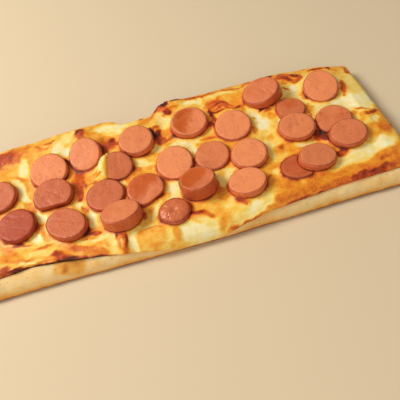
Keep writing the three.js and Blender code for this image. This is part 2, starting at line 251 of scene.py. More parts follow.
def tree_of(*meshes):
    """A search tree over the faces of one or more meshes."""
    places, faces = [], []
    for mesh in meshes:
        first = len(places)
        places += [v.co for v in mesh.vertices]
        faces += [[first + k for k in face.vertices] for face in mesh.polygons]
    return BVHTree.FromPolygons(places, faces)


CRUST = tree_of(SOLIDS["crust"])
CHEESE = tree_of(SOLIDS["cheese"])
SLICES = tree_of(*[SOLIDS[name] for name in SLICE_NAMES])
print("search trees for the crust, the cheese and", len(SLICE_NAMES), "pieces of sausage")

# %% The slab's outline
FOOT_LEVEL = 2.0 * MM
END_FLANK = 6.5 * MM
FRONT_FLANK = 10.5 * MM
BACK_FLANK = 5.5 * MM
HALF_LONG = (CAD_HIGH.x - CAD_LOW.x) / 2
# The sides are measured at these places, which leave out the corners.
PLACES_ALONG = 150
PLACES_ACROSS = 40
SLANT_AT_RIGHT = 3 * MM
STRAIGHT_ACROSS = (-45 * MM, 38 * MM)


def measured_side(axis, direction, places):
    """How far out the crust reaches on one side, at places along that side."""
    found = []
    for place in places:
        start = Vector((place, 0, FOOT_LEVEL)) if axis == 1 else Vector((0, place, FOOT_LEVEL))
        start[axis] = -direction * FAR / 2
        towards = Vector((0, 0, 0))
        towards[axis] = direction
        place_hit = CRUST.ray_cast(start, towards, FAR)[0]
        found.append(place_hit[axis])
    return np.array(found)


ALONG = np.linspace(-HALF_LONG + END_FLANK, HALF_LONG - END_FLANK - SLANT_AT_RIGHT, PLACES_ALONG)
ACROSS = np.linspace(*STRAIGHT_ACROSS, PLACES_ACROSS)
FRONT_LINE = measured_side(1, 1, ALONG)
BACK_LINE = measured_side(1, -1, ALONG)
LEFT_LINE = measured_side(0, 1, ACROSS)
RIGHT_LINE = measured_side(0, -1, ACROSS)
print("front edge from", round(FRONT_LINE.min() / MM, 1), "to", round(FRONT_LINE.max() / MM, 1))

# %% [markdown]
# ## A grid over the slab
# Crust and cheese are both made on one kind of grid: its columns and rows run evenly over the flat
# top, and at the sides they bend down round the flanks. Each grid point has a centre, low inside
# the slab, and a direction that points out of it. A ray along that direction gives the surface.


# %% Grid directions
def stations(flat_steps, low_steps, high_steps):
    """Where each grid line lies over the flat, 0 to 1, and how far it is bent down, -1 to 1."""
    place = np.concatenate([np.zeros(low_steps), np.linspace(0, 1, flat_steps + 1), np.ones(high_steps)])
    low = -np.arange(low_steps, 0, -1) / low_steps
    high = np.arange(1, high_steps + 1) / high_steps
    return place, np.concatenate([low, np.zeros(flat_steps + 1), high])


RAY_RISE = 12.0 * MM
RAY_START = 1.2 * MM
TINY = 1e-9


def grid_rays(columns, rows, hang_front, hang_back, hang_end):
    """The centre and the outward direction of every grid point. Hangs are in degrees from the flat."""
    place_x, bend_x = (a[:, None] for a in columns)
    place_y, bend_y = (a[None, :] for a in rows)
    guess = CAD_LOW.y + (CAD_HIGH.y - CAD_LOW.y) * place_y
    left = np.interp(guess, ACROSS, LEFT_LINE) + END_FLANK
    right = np.interp(guess, ACROSS, RIGHT_LINE) - END_FLANK
    x = left + (right - left) * place_x
    front = np.interp(x, ALONG, FRONT_LINE) + FRONT_FLANK
    back = np.interp(x, ALONG, BACK_LINE) - BACK_FLANK
    y = front + (back - front) * place_y
    hang = np.where(bend_y < 0, hang_front(x), hang_back(x))
    u = np.sin(np.radians(np.abs(bend_x) * hang_end))
    v = np.sin(np.radians(np.abs(bend_y) * hang))
    out = np.maximum(u, v)
    draw = np.where(out > 0, out / np.maximum(np.hypot(u, v), TINY), 0)
    side = np.where(bend_y < 0, FRONT_FLANK, BACK_FLANK)
    towards = np.stack([
        np.sign(bend_x) * u * draw * END_FLANK,
        np.sign(bend_y) * v * draw * side,
        np.sqrt(1 - out**2) * RAY_RISE,
    ], axis=-1)
    towards /= np.linalg.norm(towards, axis=-1, keepdims=True)
    centre = np.stack([x, y, np.full(x.shape, RAY_START)], axis=-1)
    return centre, towards


REACH = 60 * MM


def distances(tree, centre, towards):
    """How far from each centre the solid's outermost surface lies, or nan where a ray misses."""
    flat_centre = centre.reshape(-1, 3)
    flat_towards = towards.reshape(-1, 3)
    starts = flat_centre + REACH * flat_towards
    found = np.full(len(starts), np.nan)
    for k, (start, way) in enumerate(zip(starts, -flat_towards)):
        distance = tree.ray_cast(Vector(start), Vector(way), REACH)[3]
        if distance is not None:
            found[k] = REACH - distance
    return found.reshape(centre.shape[:2])


print("flank in front, from above:", round(FRONT_FLANK / MM, 1), "mm")


# %% Grid faces
def border_ring(columns, rows, step):
    """The grid points round the border, anticlockwise, every `step`-th one."""
    ring = [(i, 0) for i in range(0, columns, step)]
    ring += [(columns, j) for j in range(0, rows, step)]
    ring += [(i, rows) for i in range(columns, 0, -step)]
    ring += [(0, j) for j in range(rows, 0, -step)]
    return ring


def quads(number):
    """The four-cornered faces of a grid of point numbers."""
    corners = number[:-1, :-1], number[1:, :-1], number[1:, 1:], number[:-1, 1:]
    return np.stack(corners, axis=-1).reshape(-1, 4)


def shell_mesh(name, outer, inner, step):
    """A closed mesh: a fine outer grid, and an inner grid that keeps every `step`-th point."""
    columns, rows = outer.shape[0] - 1, outer.shape[1] - 1
    coarse = inner[::step, ::step]
    number = np.arange(outer[..., 0].size).reshape(outer.shape[:2])
    under = number.size + np.arange(coarse[..., 0].size).reshape(coarse.shape[:2])
    faces = quads(number).tolist() + quads(under)[:, [0, 3, 2, 1]].tolist()
    fine_ring = [int(number[i, j]) for i, j in border_ring(columns, rows, 1)]
    coarse_ring = [int(under[i // step, j // step]) for i, j in border_ring(columns, rows, step)]
    count = len(fine_ring)
    for k in range(count):
        here, after = fine_ring[k], fine_ring[(k + 1) % count]
        below = coarse_ring[k // step]
        faces.append((below, after, here))
        if (k + 1) % step == 0:
            faces.append((below, coarse_ring[(k // step + 1) % len(coarse_ring)], after))
    places = np.concatenate([outer.reshape(-1, 3), coarse.reshape(-1, 3)])
    mesh = bpy.data.meshes.new(name)
    mesh.from_pydata(places.tolist(), [], faces)
    mesh.shade_smooth()
    return mesh


def add_piece(name, mesh, node):
    """Adds a mesh that stands for a node of the model and moves with it."""
    piece = bpy.data.objects.new(name, mesh)
    bpy.context.scene.collection.objects.link(piece)
    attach(piece, "root")
    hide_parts(node)
    return piece


def keep_values(mesh, name, values):
    """Keeps one number per point with a mesh, for its shader to read."""
    layer = mesh.attributes.new(name, "FLOAT", "POINT")
    layer.data.foreach_set("value", np.asarray(values, np.float32))


print("a grid of 2 by 2 faces has", len(border_ring(2, 2, 1)), "points round its border")

# %% [markdown]
# ## The crust
# The crust is dough that rose and dried in the oven: pale and floury on its flanks, browner at its
# foot, where it stood on the hot tray, and with a dark line along the very foot that is partly burnt
# dough and partly painted contact shadow. Its flanks show, so the plain solid is laid under a net of
# small faces, which are then pushed in and out by random hills. A voxel remesh would do it too, but
# the grid keeps its rows level, as the skin of rolled dough runs along the flank.

# %% Crust mesh
CRUST_STEP = 8
CRUST_COLUMNS = stations(272, 12, 12)
CRUST_ROWS = stations(88, 16, 8)
CRUST_LUMPS = 0.5 * MM
LUMP_SIZE = 9 * MM
CRUST_GRAIN = 0.2 * MM
GRAIN_SIZE = 2.2 * MM
RELIEF_FROM = 1.2 * MM
RELIEF_WHOLE = 3.0 * MM
CRUST_SET_BACK = 0.3 * MM
FLOOR_SET_IN = 1.3 * MM
WHOLE_HANG = 89.0


def whole_hang(x):
    """The crust goes all the way down its flanks, wherever x is."""
    return np.full(x.shape, WHOLE_HANG)


def crust_surface():
    """The crust's outer surface over the grid, with low random relief that fades at the foot."""
    centre, towards = grid_rays(CRUST_COLUMNS, CRUST_ROWS, whole_hang, whole_hang, WHOLE_HANG)
    reach = distances(CRUST, centre, towards)
    flat = (centre + towards * reach[..., None]).reshape(-1, 3)
    relief = CRUST_LUMPS * rough(flat, LUMP_SIZE, 11) + CRUST_GRAIN * rough(flat, GRAIN_SIZE, 15)
    foot = smooth(RELIEF_FROM, RELIEF_WHOLE, flat[:, 2])
    reach += (relief * foot).reshape(reach.shape) - CRUST_SET_BACK
    return centre + towards * reach[..., None]


def crust_floor(surface):
    """The points under the surface that lie on the bottom face, set in at the foot."""
    under = surface.copy()
    under[..., 0] *= 1 - FLOOR_SET_IN / HALF_LONG
    under[..., 1] *= 1 - FLOOR_SET_IN / CAD_HIGH.y
    under[..., 2] = 0.0
    return under


crust_top = crust_surface()
crust_mesh = shell_mesh("crust", crust_top, crust_floor(crust_top), CRUST_STEP)
crust = add_piece("baked_crust", crust_mesh, "crust")
print("crust:", len(crust.data.polygons), "faces")

# %% [markdown]
# ## Where the slices stand
# The cheese has to know where each slice is, to climb its side a little. Seen from above, each
# slice is close to an oval, so the convex outline of its corners says how far a point is from it.


# %% Outlines of the slices
def convex_outline(points):
    """The corners of the smallest convex shape round some points in a plane, anticlockwise."""
    ordered = sorted(map(tuple, points))

    def half(run):
        chain = []
        for p in run:
            while len(chain) > 1:
                (ax, ay), (bx, by) = chain[-2], chain[-1]
                if (bx - ax) * (p[1] - ay) - (by - ay) * (p[0] - ax) > 0:
                    break
                chain.pop()
            chain.append(p)
        return chain[:-1]

    return np.array(half(ordered) + half(ordered[::-1]))


def distance_outside(outline, points):
    """How far each point in the plane lies outside a convex outline; negative inside."""
    ahead = np.roll(outline, -1, axis=0)
    edge = ahead - outline
    length = np.linalg.norm(edge, axis=1)
    offset = points[:, None, :] - outline[None]
    along = np.clip((offset * edge).sum(-1) / length**2, 0, 1)
    gap = np.linalg.norm(offset - along[..., None] * edge, axis=-1).min(1)
    side = (offset[..., 0] * edge[:, 1] - offset[..., 1] * edge[:, 0]) / length
    return np.where(side.max(1) < 0, -gap, gap)


OUTLINES = {name: convex_outline(read_points(SOLIDS[name])[:, :2]) for name in SLICE_NAMES}
NEAR = 8 * MM


def nearest_slice(points):
    """The distance of each point, from above, to the outline of the nearest slice within reach."""
    nearest = np.full(len(points), FAR)
    for outline in OUTLINES.values():
        low, high = outline.min(0) - NEAR, outline.max(0) + NEAR
        close = np.all((points > low) & (points < high), axis=1)
        nearest[close] = np.minimum(nearest[close], distance_outside(outline, points[close]))
    return nearest


print(len(OUTLINES), "slices measured")

# %% [markdown]
# ## How far the cheese is baked, with some painted shade and highlights
# Cheese turns from cream through gold and orange to brown and black as it bakes. One number says how
# far it has gone: 0 is cream, 1 is burnt. Noise alone would put the spots anywhere, so the map is
# painted with soft ovals, each with a place, a size, a turn and the level that it brings.
# The edges of the ovals are then broken up by random hills, so that none of them shows as an oval.
# A few dark ovals beside the slices are painted shadow, and a few pale ones are painted highlights.

# %% Painted ovals of browning
# Each oval: x, y, half length, half width (mm), turn (degrees), level. Later ones lie on top.
# A few dark ovals beside slices are painted shadow, and a few pale ones are painted highlights.
BROWNING_AND_PAINTED_LIGHT = [
    # broad washes, which the smaller ovals below break up
    (118, 14, 34, 30, 0, 0.17), (141, 8, 12, 9, 0, 0.06), (112, 12, 7, 9, 0, 0.12),
    (74, 12, 8, 20, 0, 0.16), (76, -12, 9, 14, 0, 0.24), (126, -33, 24, 6.5, 14, 0.10),
    (104, -40, 12, 4, 4, 0.24), (94, -49, 62, 6, 2, 0.50), (140, -18, 10, 12, 0, 0.42),
    (22, 14, 22, 4.5, -5, 0.13), (3, 17, 6, 4, 0, 0.12), (-7, 7, 8, 4, -32, 0.10),
    (28, 4, 3.4, 8, 0, 0.08), (9, -22, 6, 9, 0, 0.10), (42, -22, 6, 7, 0, 0.12),
    (16, -54, 30, 7, 0, 0.16), (34, -44, 11, 8, 0, 0.27), (54, -50, 14, 6, 12, 0.15),
    (-14, -45, 11, 4, 0, 0.14), (-10, -51, 11, 5, 0, 0.36), (-62, -39, 44, 5, -9, 0.27),
    (-34, 10, 5, 9, 0, 0.12), (14, 39, 6, 8, 0, 0.16), (104, 35, 8, 7, 0, 0.18),
    # back left: orange-red corner, gold and cream beside the first slices
    (-97, 46, 10, 9, 0, 0.62), (-97, 45, 9, 1.8, -48, 0.70), (-102, 44, 2.4, 7, 0, 0.68),
    (-88, 49, 7, 4, 0, 0.55), (-91, 41, 6, 3.5, -50, 0.58), (-79, 47, 7, 3.4, -15, 0.40),
    (-76, 45, 5, 1.2, -35, 0.54), (-73, 42, 5, 1.6, 5, 0.50), (-68.5, 48.5, 5.5, 1.7, 8, 0.62),
    (-61, 46.5, 6, 2, 0, 0.34), (-63, 41, 5, 5.5, -20, 0.03), (-57, 36, 4.5, 3.4, -50, 0.04),
    (-56, 47, 6, 5, 0, 0.17), (-98, 33, 6, 6.5, 0, 0.42), (-93, 28, 6, 3.5, -25, 0.34),
    (-86.5, 37, 3, 5, 0, 0.22), (-87, 30, 4.4, 8, 0, 0.06), (-93, 21.5, 6, 2.2, -38, 0.14),
    (-88, 21, 8, 1.8, -58, 0.48), (-84, 12, 7, 1.8, -72, 0.44), (-82, 4, 6, 1.5, -80, 0.40),
    (-90, 15, 8, 3, -64, 0.08), (-86, 5, 9, 3, -75, 0.07), (-87, -2, 3, 2.6, 0, 0.12),
    (-89, -4.5, 3.4, 1.8, -30, 0.54), (-83.5, -4, 8, 2.6, -46, 0.48),
    (-45, 50, 4.6, 4, 0, 0.80), (-45, 45.5, 4.4, 3, 0, 0.66), (-51.5, 50, 3, 3.4, 0, 0.17),
    (-37.5, 48, 2.6, 6, -8, 0.46), (-34, 42, 3, 6, 28, 0.43), (-31, 37, 3.4, 3.4, 0, 0.46),
    (-28, 47.5, 8, 4, -10, 0.07), (-23, 42, 8, 4.5, -25, 0.13), (-26, 40.5, 4, 1.8, 0, 0.26),
    (-27, 31, 4.2, 6, 25, 0.66), (-25, 34, 2.2, 3, 15, 0.74), (-22, 29.5, 4, 2.2, -35, 0.66),
    # (-29, 24): partly browning, partly painted shadow beside a slice
    (-29, 24, 1.8, 6, 0, 0.68),
    # (-54, 24): painted shadow of a slice on the cheese
    (-54, 24, 1.8, 7, 20, 0.68), (-51, 19, 2.6, 5, 30, 0.64), (-53, 9, 2.4, 4.6, 8, 0.40),
    (-52.5, 6.5, 1.2, 2, 0, 0.54), (-48, 11, 4.0, 10, 0, 0.62), (-50.5, 1, 2.8, 5, 0, 0.60),
    (-46, 3, 1.7, 5, 0, 0.62), (-41.5, 5, 2.7, 4.6, -10, 0.42), (-37, 7.5, 3, 3, -30, 0.48),
    (-40, 1.2, 5, 1.3, 0, 0.54), (-32, 13, 8.5, 2, 72, 0.12), (-34.5, 4.5, 3, 1.4, -30, 0.58),
    # front left: cream between the slices, then streaks along the burnt lip
    (-76, -13.5, 6, 3.4, -55, 0.05), (-81, -8, 5, 1.6, -50, 0.50), (-76, -21, 2.6, 2.6, 0, 0.54),
    (-75, -26, 4, 1.6, 80, 0.52), (-79, -28.5, 6, 3, -55, 0.06), (-72.5, -31, 4, 1.6, -40, 0.42),
    (-92, -28.2, 7, 1.1, -12, 0.12), (-88, -31, 7, 1.0, -14, 0.68), (-95, -36, 7, 6, 0, 0.52),
    (-84, -35, 7, 2, -15, 0.34), (-89, -39.5, 8, 2.4, -8, 0.46), (-74, -36, 6, 1.6, -5, 0.58),
    (-78, -40.5, 10, 2.4, -10, 0.22), (-71, -42, 4, 2, 30, 0.20), (-86, -43.2, 8, 1.7, -10, 0.53),
    # (-81, -45.6): a painted highlight along the edge of the lip
    (-81, -45.6, 8, 0.9, -4, 0.14), (-98, -46, 5, 3.4, 0, 0.68), (-90, -47.8, 6, 1.2, 0, 0.78),
    (-66, -44, 6, 2.8, -20, 0.66), (-61, -48, 6, 2.2, -5, 0.64), (-62, -50.4, 3.4, 1.5, 0, 1.0),
    # (-56, -38) and (-40, -41.6): a pale line along a fold, partly cream cheese and partly painted
    # highlight
    (-56, -38, 10, 1.2, -13, 0.14), (-40, -41.6, 9, 1.6, -12, 0.15), (-58, -41, 9, 1.6, -16, 0.38),
    (-52, -44.5, 11, 2.6, -14, 0.55), (-38, -46, 9, 2, -18, 0.40), (-43, -49.5, 9, 2, -18, 0.52),
    (-33, -46, 3.6, 5.4, 10, 0.19), (-31, -51.5, 5, 3.2, -24, 0.24), (-26.5, -49.5, 4.2, 6.8, 0, 0.63),
    # (-27, -51): painted highlight inside the bubble; (-24, -48.5): its darker right side, partly
    # browning and partly painted shade
    (-27, -51, 1.8, 2.6, 0, 0.47), (-27.5, -46, 1.4, 1.6, 0, 0.50), (-24, -48.5, 1.3, 4.4, 0, 0.84),
    (-28.8, -44, 1.2, 2, 0, 0.74), (-20, -50, 2.6, 6.5, -4, 0.05), (-50, -14.5, 5.4, 2.4, -38, 0.06),
    # (-46, -34): partly browning, partly painted shadow beside a slice
    (-46, -18, 3.4, 2, -42, 0.52), (-42, -26, 3.2, 7, 6, 0.07), (-46, -34, 2, 3.6, -20, 0.84),
    (-42, -37, 5, 1.7, -20, 0.70), (-45, -39.4, 5, 1, -8, 0.50), (-50, -5, 2.6, 5.4, 0, 0.62),
    (-50.5, -9, 2, 1.6, 0, 0.74),
    # back, in the middle: the drawn-in edge, the crisp lump and the gold round it
    (-19, 46, 8, 4, -20, 0.10), (-2.5, 47.5, 2.6, 1.8, 0, 0.64), (2, 42.8, 10, 3.6, 0, 0.47),
    (8, 44, 2.6, 2.2, 0, 0.54), (-8, 44, 5, 2, -8, 0.26), (12, 38, 3.6, 7, 0, 0.18),
    (6, 37.4, 4, 1.8, -10, 0.30), (16, 40, 3, 3.4, 0, 0.12), (4, 31.5, 5, 1.8, -62, 0.94),
    (8, 27.5, 3.2, 5.4, 0, 0.84), (9, 22, 3, 4, 0, 0.68), (7, 35, 3.4, 1.6, 0, 0.62),
    (14, 27, 3, 4.4, 0, 0.46), (13, 20.6, 4.4, 1.0, 0, 0.62), (13, 17.8, 6, 1.3, 5, 0.38),
    (9, 14, 4, 1.5, 32, 0.40), (17, 21, 4, 1.6, -22, 0.66), (18, 45.5, 3.2, 2.6, -35, 0.76),
    (21, 43.5, 2.2, 1.6, -40, 0.82), (14.5, 43, 1.6, 1.8, 0, 0.50), (15, 49, 5, 2.2, 0, 0.58),
    (24, 48, 5, 2.6, -10, 0.50), (22, 55, 7, 3.4, 0, 0.88), (14, 53.5, 4, 3.4, 0, 0.74),
    (17, 52.6, 4, 1.6, 0, 0.88), (10.5, 49.5, 2, 4, 0, 0.76), (22, 52.4, 1.4, 1.0, 0, 0.40),
    (18.6, 55.4, 1.2, 0.9, 0, 0.56), (36, 46.8, 6, 2.2, -10, 0.05), (41.5, 46, 2.4, 4, 0, 0.12),
    (43, 42, 3, 2.4, 0, 0.30), (35, 51.4, 8, 1.4, 0, 0.56), (44, 50.5, 3.4, 1.2, -55, 0.76),
    (50, 51, 10, 1.2, 0, 0.54), (50, 47.6, 8, 1.7, 0, 0.22), (56, 44.6, 5, 1.3, 5, 0.54),
    (51, 41.2, 6, 3, -8, 0.63), (46.5, 39, 3, 3, 0, 0.56), (54, 38.2, 6, 1.1, -8, 0.76),
    (53, 35.8, 6, 1.4, 0, 0.52), (50, 33.2, 8, 1.2, -6, 0.76), (46, 33, 2, 4.4, 0, 0.82),
    (46.5, 27, 1.8, 3.4, 0, 0.64), (43.5, 21, 1.6, 5, -10, 0.68), (42.6, 16.6, 1.8, 3.2, 0, 0.30),
    (38, 12, 5, 2.4, -8, 0.50), (42, 10.4, 3, 1.4, -20, 0.58), (24.5, 11.5, 6, 2.2, -18, 0.06),
    (27, 6, 2.2, 5.4, 0, 0.10), (-5, 5.4, 5, 3, -32, 0.13), (-10, 8.4, 3.4, 2, -30, 0.10),
    (-0.6, 8.4, 1.8, 3.4, 0, 0.38), (-10.5, 2, 3.6, 2.6, -15, 0.60), (-2.4, 0, 2.2, 2.2, 0, 0.44),
    (1, -3, 1.3, 4, 12, 0.52), (6.5, 14.5, 4, 2, 35, 0.20),
    # front, in the middle: cream pools, gold and red-brown spots
    (-22, -6, 3.4, 2.3, -45, 0.12), (8.6, -20.5, 3, 7, 0, 0.05), (5.4, -24, 2, 3, 0, 0.40),
    (1, -25.2, 4, 1.4, 25, 0.52), (-7.6, -31.5, 2.4, 3, 0, 0.47), (-4, -33, 8, 1.7, 62, 0.12),
    (-11.5, -35, 1.6, 3, 0, 0.60), (-12, -40, 4, 2, 40, 0.34), (-7, -41, 4, 1.6, 0, 0.28),
    (-14, -46.5, 5, 3, 15, 0.42), (-7.5, -45, 5, 1.1, -8, 0.66), (-6, -49.5, 7, 4.8, -30, 0.42),
    (-8, -54, 7, 4, 0, 0.38), (-20, -52, 2, 5.4, 0, 0.07), (1, -51, 2.2, 7, 16, 0.24),
    (5.2, -53, 2.4, 4.4, 22, 0.47), (4, -58, 6, 3, 0, 0.34), (13, -52, 6.4, 4.4, -10, 0.06),
    (20, -55.5, 9, 4, 0, 0.07), (25, -52, 5, 2.6, 0, 0.18), (17.5, -49.6, 4, 1.1, -30, 0.32),
    (21, -44.8, 5.4, 2.2, -5, 0.71), (26, -47, 4, 2, -20, 0.58), (24, -41, 5, 1.8, 10, 0.32),
    (30, -42, 6, 4, 0, 0.33), (37, -38, 3, 4, 0, 0.46), (33, -47, 5, 3, 0, 0.38),
    (38, -46, 5, 3.4, -20, 0.18), (42, -50, 5, 2, 10, 0.30), (34, -53, 5, 4, 0, 0.42),
    (53, -50, 6, 3, 28, 0.03), (58, -46.8, 4, 2.4, 18, 0.10), (46, -45.6, 4.4, 1.7, -18, 0.62),
    (48, -47, 1.2, 1.6, 0, 0.30), (46, -57, 12, 1.3, 6, 0.60), (41, -22, 3, 2.6, 40, 0.34),
    (39, -27, 2.2, 5, 0, 0.16), (46, -19, 4, 1.3, 0, 0.12), (38, -32.4, 2.8, 2, 0, 0.54),
    # back right: folds behind the high slice, gold and cream to the end
    (66, 50.4, 9, 1.4, -2, 0.58), (58, 47.6, 9, 1.7, 0, 0.20), (64, 46, 4, 1.6, -30, 0.14),
    (61, 42.5, 6, 2.6, -22, 0.38), (66, 39, 4.4, 2.6, -30, 0.44), (58, 37, 7, 1.3, -25, 0.72),
    (63, 32.6, 9, 1.4, -20, 0.76), (60, 34.6, 6, 1.2, -20, 0.54), (69, 28.4, 1.6, 3.4, 10, 0.50),
    (73, 27, 5, 2.4, -62, 0.09), (75, 18, 3.2, 7, 5, 0.02), (77, 10, 4.6, 4.4, 0, 0.01),
    # (72.6, 17.5): painted shadow beside a slice
    (72.6, 17.5, 1.4, 1.6, 0, 0.42), (83, 15, 3.4, 4, 0, 0.45), (79.6, 18, 1.8, 3, 0, 0.32),
    (84, 20.4, 3.4, 1.4, 0, 0.54), (84, 23.4, 7, 1.3, 3, 0.76), (87, 8, 1.6, 4.4, -8, 0.14),
    (71, 5, 1.9, 5.4, -5, 0.52), (75.5, 2.4, 3, 2.2, 0, 0.27), (80, 52, 7, 1.5, 0, 0.54),
    (93, 53, 5, 1.6, -10, 0.82), (101, 48.6, 6, 3, 0, 0.60), (104, 45, 6, 1.4, -27, 0.70),
    (110, 46.6, 6, 1.8, -12, 0.72), (101, 42, 3.4, 2, 0, 0.47), (109, 41.6, 4.6, 2.6, 0, 0.56),
    (103, 37.6, 4, 2.6, 0, 0.28), (102, 34, 3.6, 1.4, -25, 0.60), (107.4, 34, 3, 4.4, 0, 0.08),
    (106, 29, 3, 2.2, 0, 0.20), (114, 42.6, 3.4, 2.6, 0, 0.64), (109, 26, 2.4, 3.4, 0, 0.46),
    (111, 22.8, 2.4, 1.8, 0, 0.64), (109, 12, 2.6, 6, 0, 0.45), (107, 5, 1.5, 4, 0, 0.54),
    (113, 15, 4, 2.4, 20, 0.26), (114.6, 12, 4.6, 1.8, -25, 0.10), (128, 11.6, 6, 2.2, 0, 0.03),
    (137.2, 24, 1.6, 5, 0, 0.62), (136, 19, 2.2, 4.4, -25, 0.66), (133, 15, 2.2, 1.6, 30, 0.54),
    (143, 33, 3.4, 7, 5, 0.20), (140, 37.4, 6, 1.8, -30, 0.32), (137, 42, 5, 1.8, -35, 0.46),
    (146, 38, 1.6, 3, 0, 0.64), (142, 20, 4, 11, 0, 0.22), (140, 8, 6, 6, 0, 0.05),
    (145, 3, 4, 3, 0, 0.09), (127, 46.4, 6, 1.6, -14, 0.74), (134.5, 44.6, 2.4, 1.4, -40, 0.72),
    # front right: the orange strip along the edge and the spots before it
    (72, -2, 2.2, 5, 0, 0.30), (75, -9, 2.4, 6, 0, 0.18), (77, -4, 2.8, 2.8, 0, 0.41),
    (80, -15, 5.4, 4.6, 0, 0.50), (80.6, -14.6, 2.6, 2.2, 0, 0.64), (86, -16, 4, 4, 0, 0.44),
    (73, -17.6, 2, 6, 0, 0.20), (70, -26, 5, 2.4, 0, 0.42), (72, -31, 2.8, 2.8, 0, 0.14),
    (66.6, -34, 2.2, 1.4, 30, 0.62), (69, -39, 6, 5, 0, 0.46), (92, -14.8, 4.6, 2.4, -12, 0.06),
    (99.6, -16.4, 5, 1.2, -8, 0.12), (106, -13, 3.4, 3.6, 0, 0.66), (109, -17, 2, 6.4, 10, 0.76),
    # (112, -28.4): a painted highlight
    (104.5, -9.6, 2.6, 1.6, 0, 0.62), (113, -31.4, 5, 2.4, 20, 0.64), (112, -28.4, 1.6, 1.2, 0, 0.30),
    (132, -2.6, 3, 2, 0, 0.46), (138, -1, 6, 1.4, -20, 0.58), (143, -1.2, 4, 1.6, -15, 0.10),
    (141, -5.6, 6, 1.7, 0, 0.68), (136, -5.6, 2.4, 2.4, 0, 0.46), (138, -10, 5, 2, 0, 0.40),
    (142, -13, 3.6, 3.2, 0, 0.12), (137, -13.4, 2.4, 3, 0, 0.27), (144.6, -20, 4.4, 5.4, 0, 0.56),
    (138.4, -21, 3, 3.2, 0, 0.43), (149, -12, 1.8, 10, 0, 0.42), (124, -32, 8, 3.4, 14, 0.07),
    (137.4, -31, 4.8, 4.2, 0, 0.03), (131, -28.4, 3, 1.6, 0, 0.30), (112, -38, 11, 2.6, 20, 0.15),
    (103.4, -42.4, 3.4, 2.4, 0, 0.25), (134, -42, 11, 5, 15, 0.51), (133, -44, 4, 2, 0, 0.60),
    (120, -44.4, 11, 2.8, 8, 0.49), (123, -50, 16, 2.2, 0, 0.70), (118, -49, 9, 1.4, 4, 0.76),
    (94, -46, 13, 3.8, 0, 0.51), (100, -50, 15, 2, 0, 0.57), (91, -53, 4, 1.1, 10, 0.70),
    (78, -53.6, 8, 1.4, 8, 0.66), (72, -49, 9, 3.4, 8, 0.54), (62, -54.6, 6, 2.8, 8, 0.47),
    (60, -48.4, 3.4, 2, 0, 0.20), (56, -53, 4, 2.6, 20, 0.15), (76, -43, 6, 3, 0, 0.50),
    (147, -38, 5, 6, 0, 0.50), (146, -49, 8, 5, 0, 0.58),
]
print(len(BROWNING_AND_PAINTED_LIGHT), "ovals painted by hand")

# %% Ovals for the unseen end
# The end of the pizza that the picture doesn't show is painted by chance, in the same manner.
UNSEEN_ALONG = (-149, -106)
UNSEEN_ACROSS = (-54, 53)
UNSEEN_OVALS = 42
HALF_LENGTHS = (3, 9)
HALF_WIDTHS = (2.4, 6)
TURNS = (-25, 25)
UNSEEN_LEVELS = (0.05, 0.1, 0.16, 0.34, 0.42, 0.48, 0.54, 0.62, 0.7)
UNSEEN_SEED = 5


def chance_ovals():
    """Random ovals for the left end: five numbers from their ranges, then one of the levels."""
    pick = random.Random(UNSEEN_SEED)
    ranges = UNSEEN_ALONG, UNSEEN_ACROSS, HALF_LENGTHS, HALF_WIDTHS, TURNS
    return [(*[pick.uniform(*span) for span in ranges], pick.choice(UNSEEN_LEVELS))
            for _ in range(UNSEEN_OVALS)]


OVALS = chance_ovals() + BROWNING_AND_PAINTED_LIGHT
print(len(OVALS), "ovals in all")

# %% From ovals to a map
OVAL_EDGE = (0.55, 1.25)
PLAIN_LEVEL = (0.38, 0.14, 12 * MM, 51)  # mean, swing, size, seed
FLECKS = 0.07
FLECK_SIZE = 4 * MM
WANDER = 3.0 * MM
WANDER_SIZE = 7 * MM


def turned(points, x, y, turn):
    """Distances along and across a line through x, y (mm) that is turned by some degrees."""
    angle = math.radians(turn)
    dx, dy = points[:, 0] - x * MM, points[:, 1] - y * MM
    along = dx * math.cos(angle) + dy * math.sin(angle)
    return along, dy * math.cos(angle) - dx * math.sin(angle)


def oval_mask(points, x, y, half_long, half_wide, turn):
    """1 inside an oval, with a soft edge, 0 outside."""
    along, across = turned(points, x, y, turn)
    out = np.hypot(along / (half_long * MM), across / (half_wide * MM))
    return 1 - smooth(*OVAL_EDGE, out)


def browning_and_painted_light_at(points):
    """How far the cheese is baked at each point, with some painted shadows and highlights, before the
    edges of the slab are counted.
    """
    sideways, forwards = rough(points, WANDER_SIZE, 31), rough(points, WANDER_SIZE, 41)
    wandering = points + WANDER * np.stack([sideways, forwards, 0 * sideways], axis=1)
    level = uneven(points, *PLAIN_LEVEL)
    for *oval, target in OVALS:
        level += (target - level) * oval_mask(wandering, *oval)
    return level + FLECKS * rough(points, FLECK_SIZE, 56)


print("browning in the middle:", browning_and_painted_light_at(np.zeros((1, 3))).round(2))

# %% Reddish places
# Fat and paprika run out of the sausage and redden the cheese in the hollows: x, y, half sizes (mm).
REDDENED = [
    (-99, 46, 9, 7), (-49, 8, 6, 12), (-50, -6, 4, 6), (-44, -36, 6, 3), (-26, 30, 7, 7),
    (-45, 47, 5, 5), (20, -45, 8, 3.4), (8, 27, 5, 8), (44, 24, 5, 9), (52, 38, 10, 7),
    (62, 34, 9, 4), (18, 46, 5, 4), (14, 52, 6, 5), (107, -14, 5, 7), (113, -31, 6, 3.4),
    (137, 21, 3.4, 7), (46, -45, 5, 2.4), (-66, -46, 9, 4), (-120, 10, 9, 8), (-136, -18, 7, 6),
    (104, 46, 10, 4), (128, 46, 8, 3), (120, -50, 16, 3), (40, 12, 6, 3), (84, 24, 8, 3),
]
RED_UNEVEN = (0.75, 0.25, 5 * MM, 61)  # mean, swing, size, seed


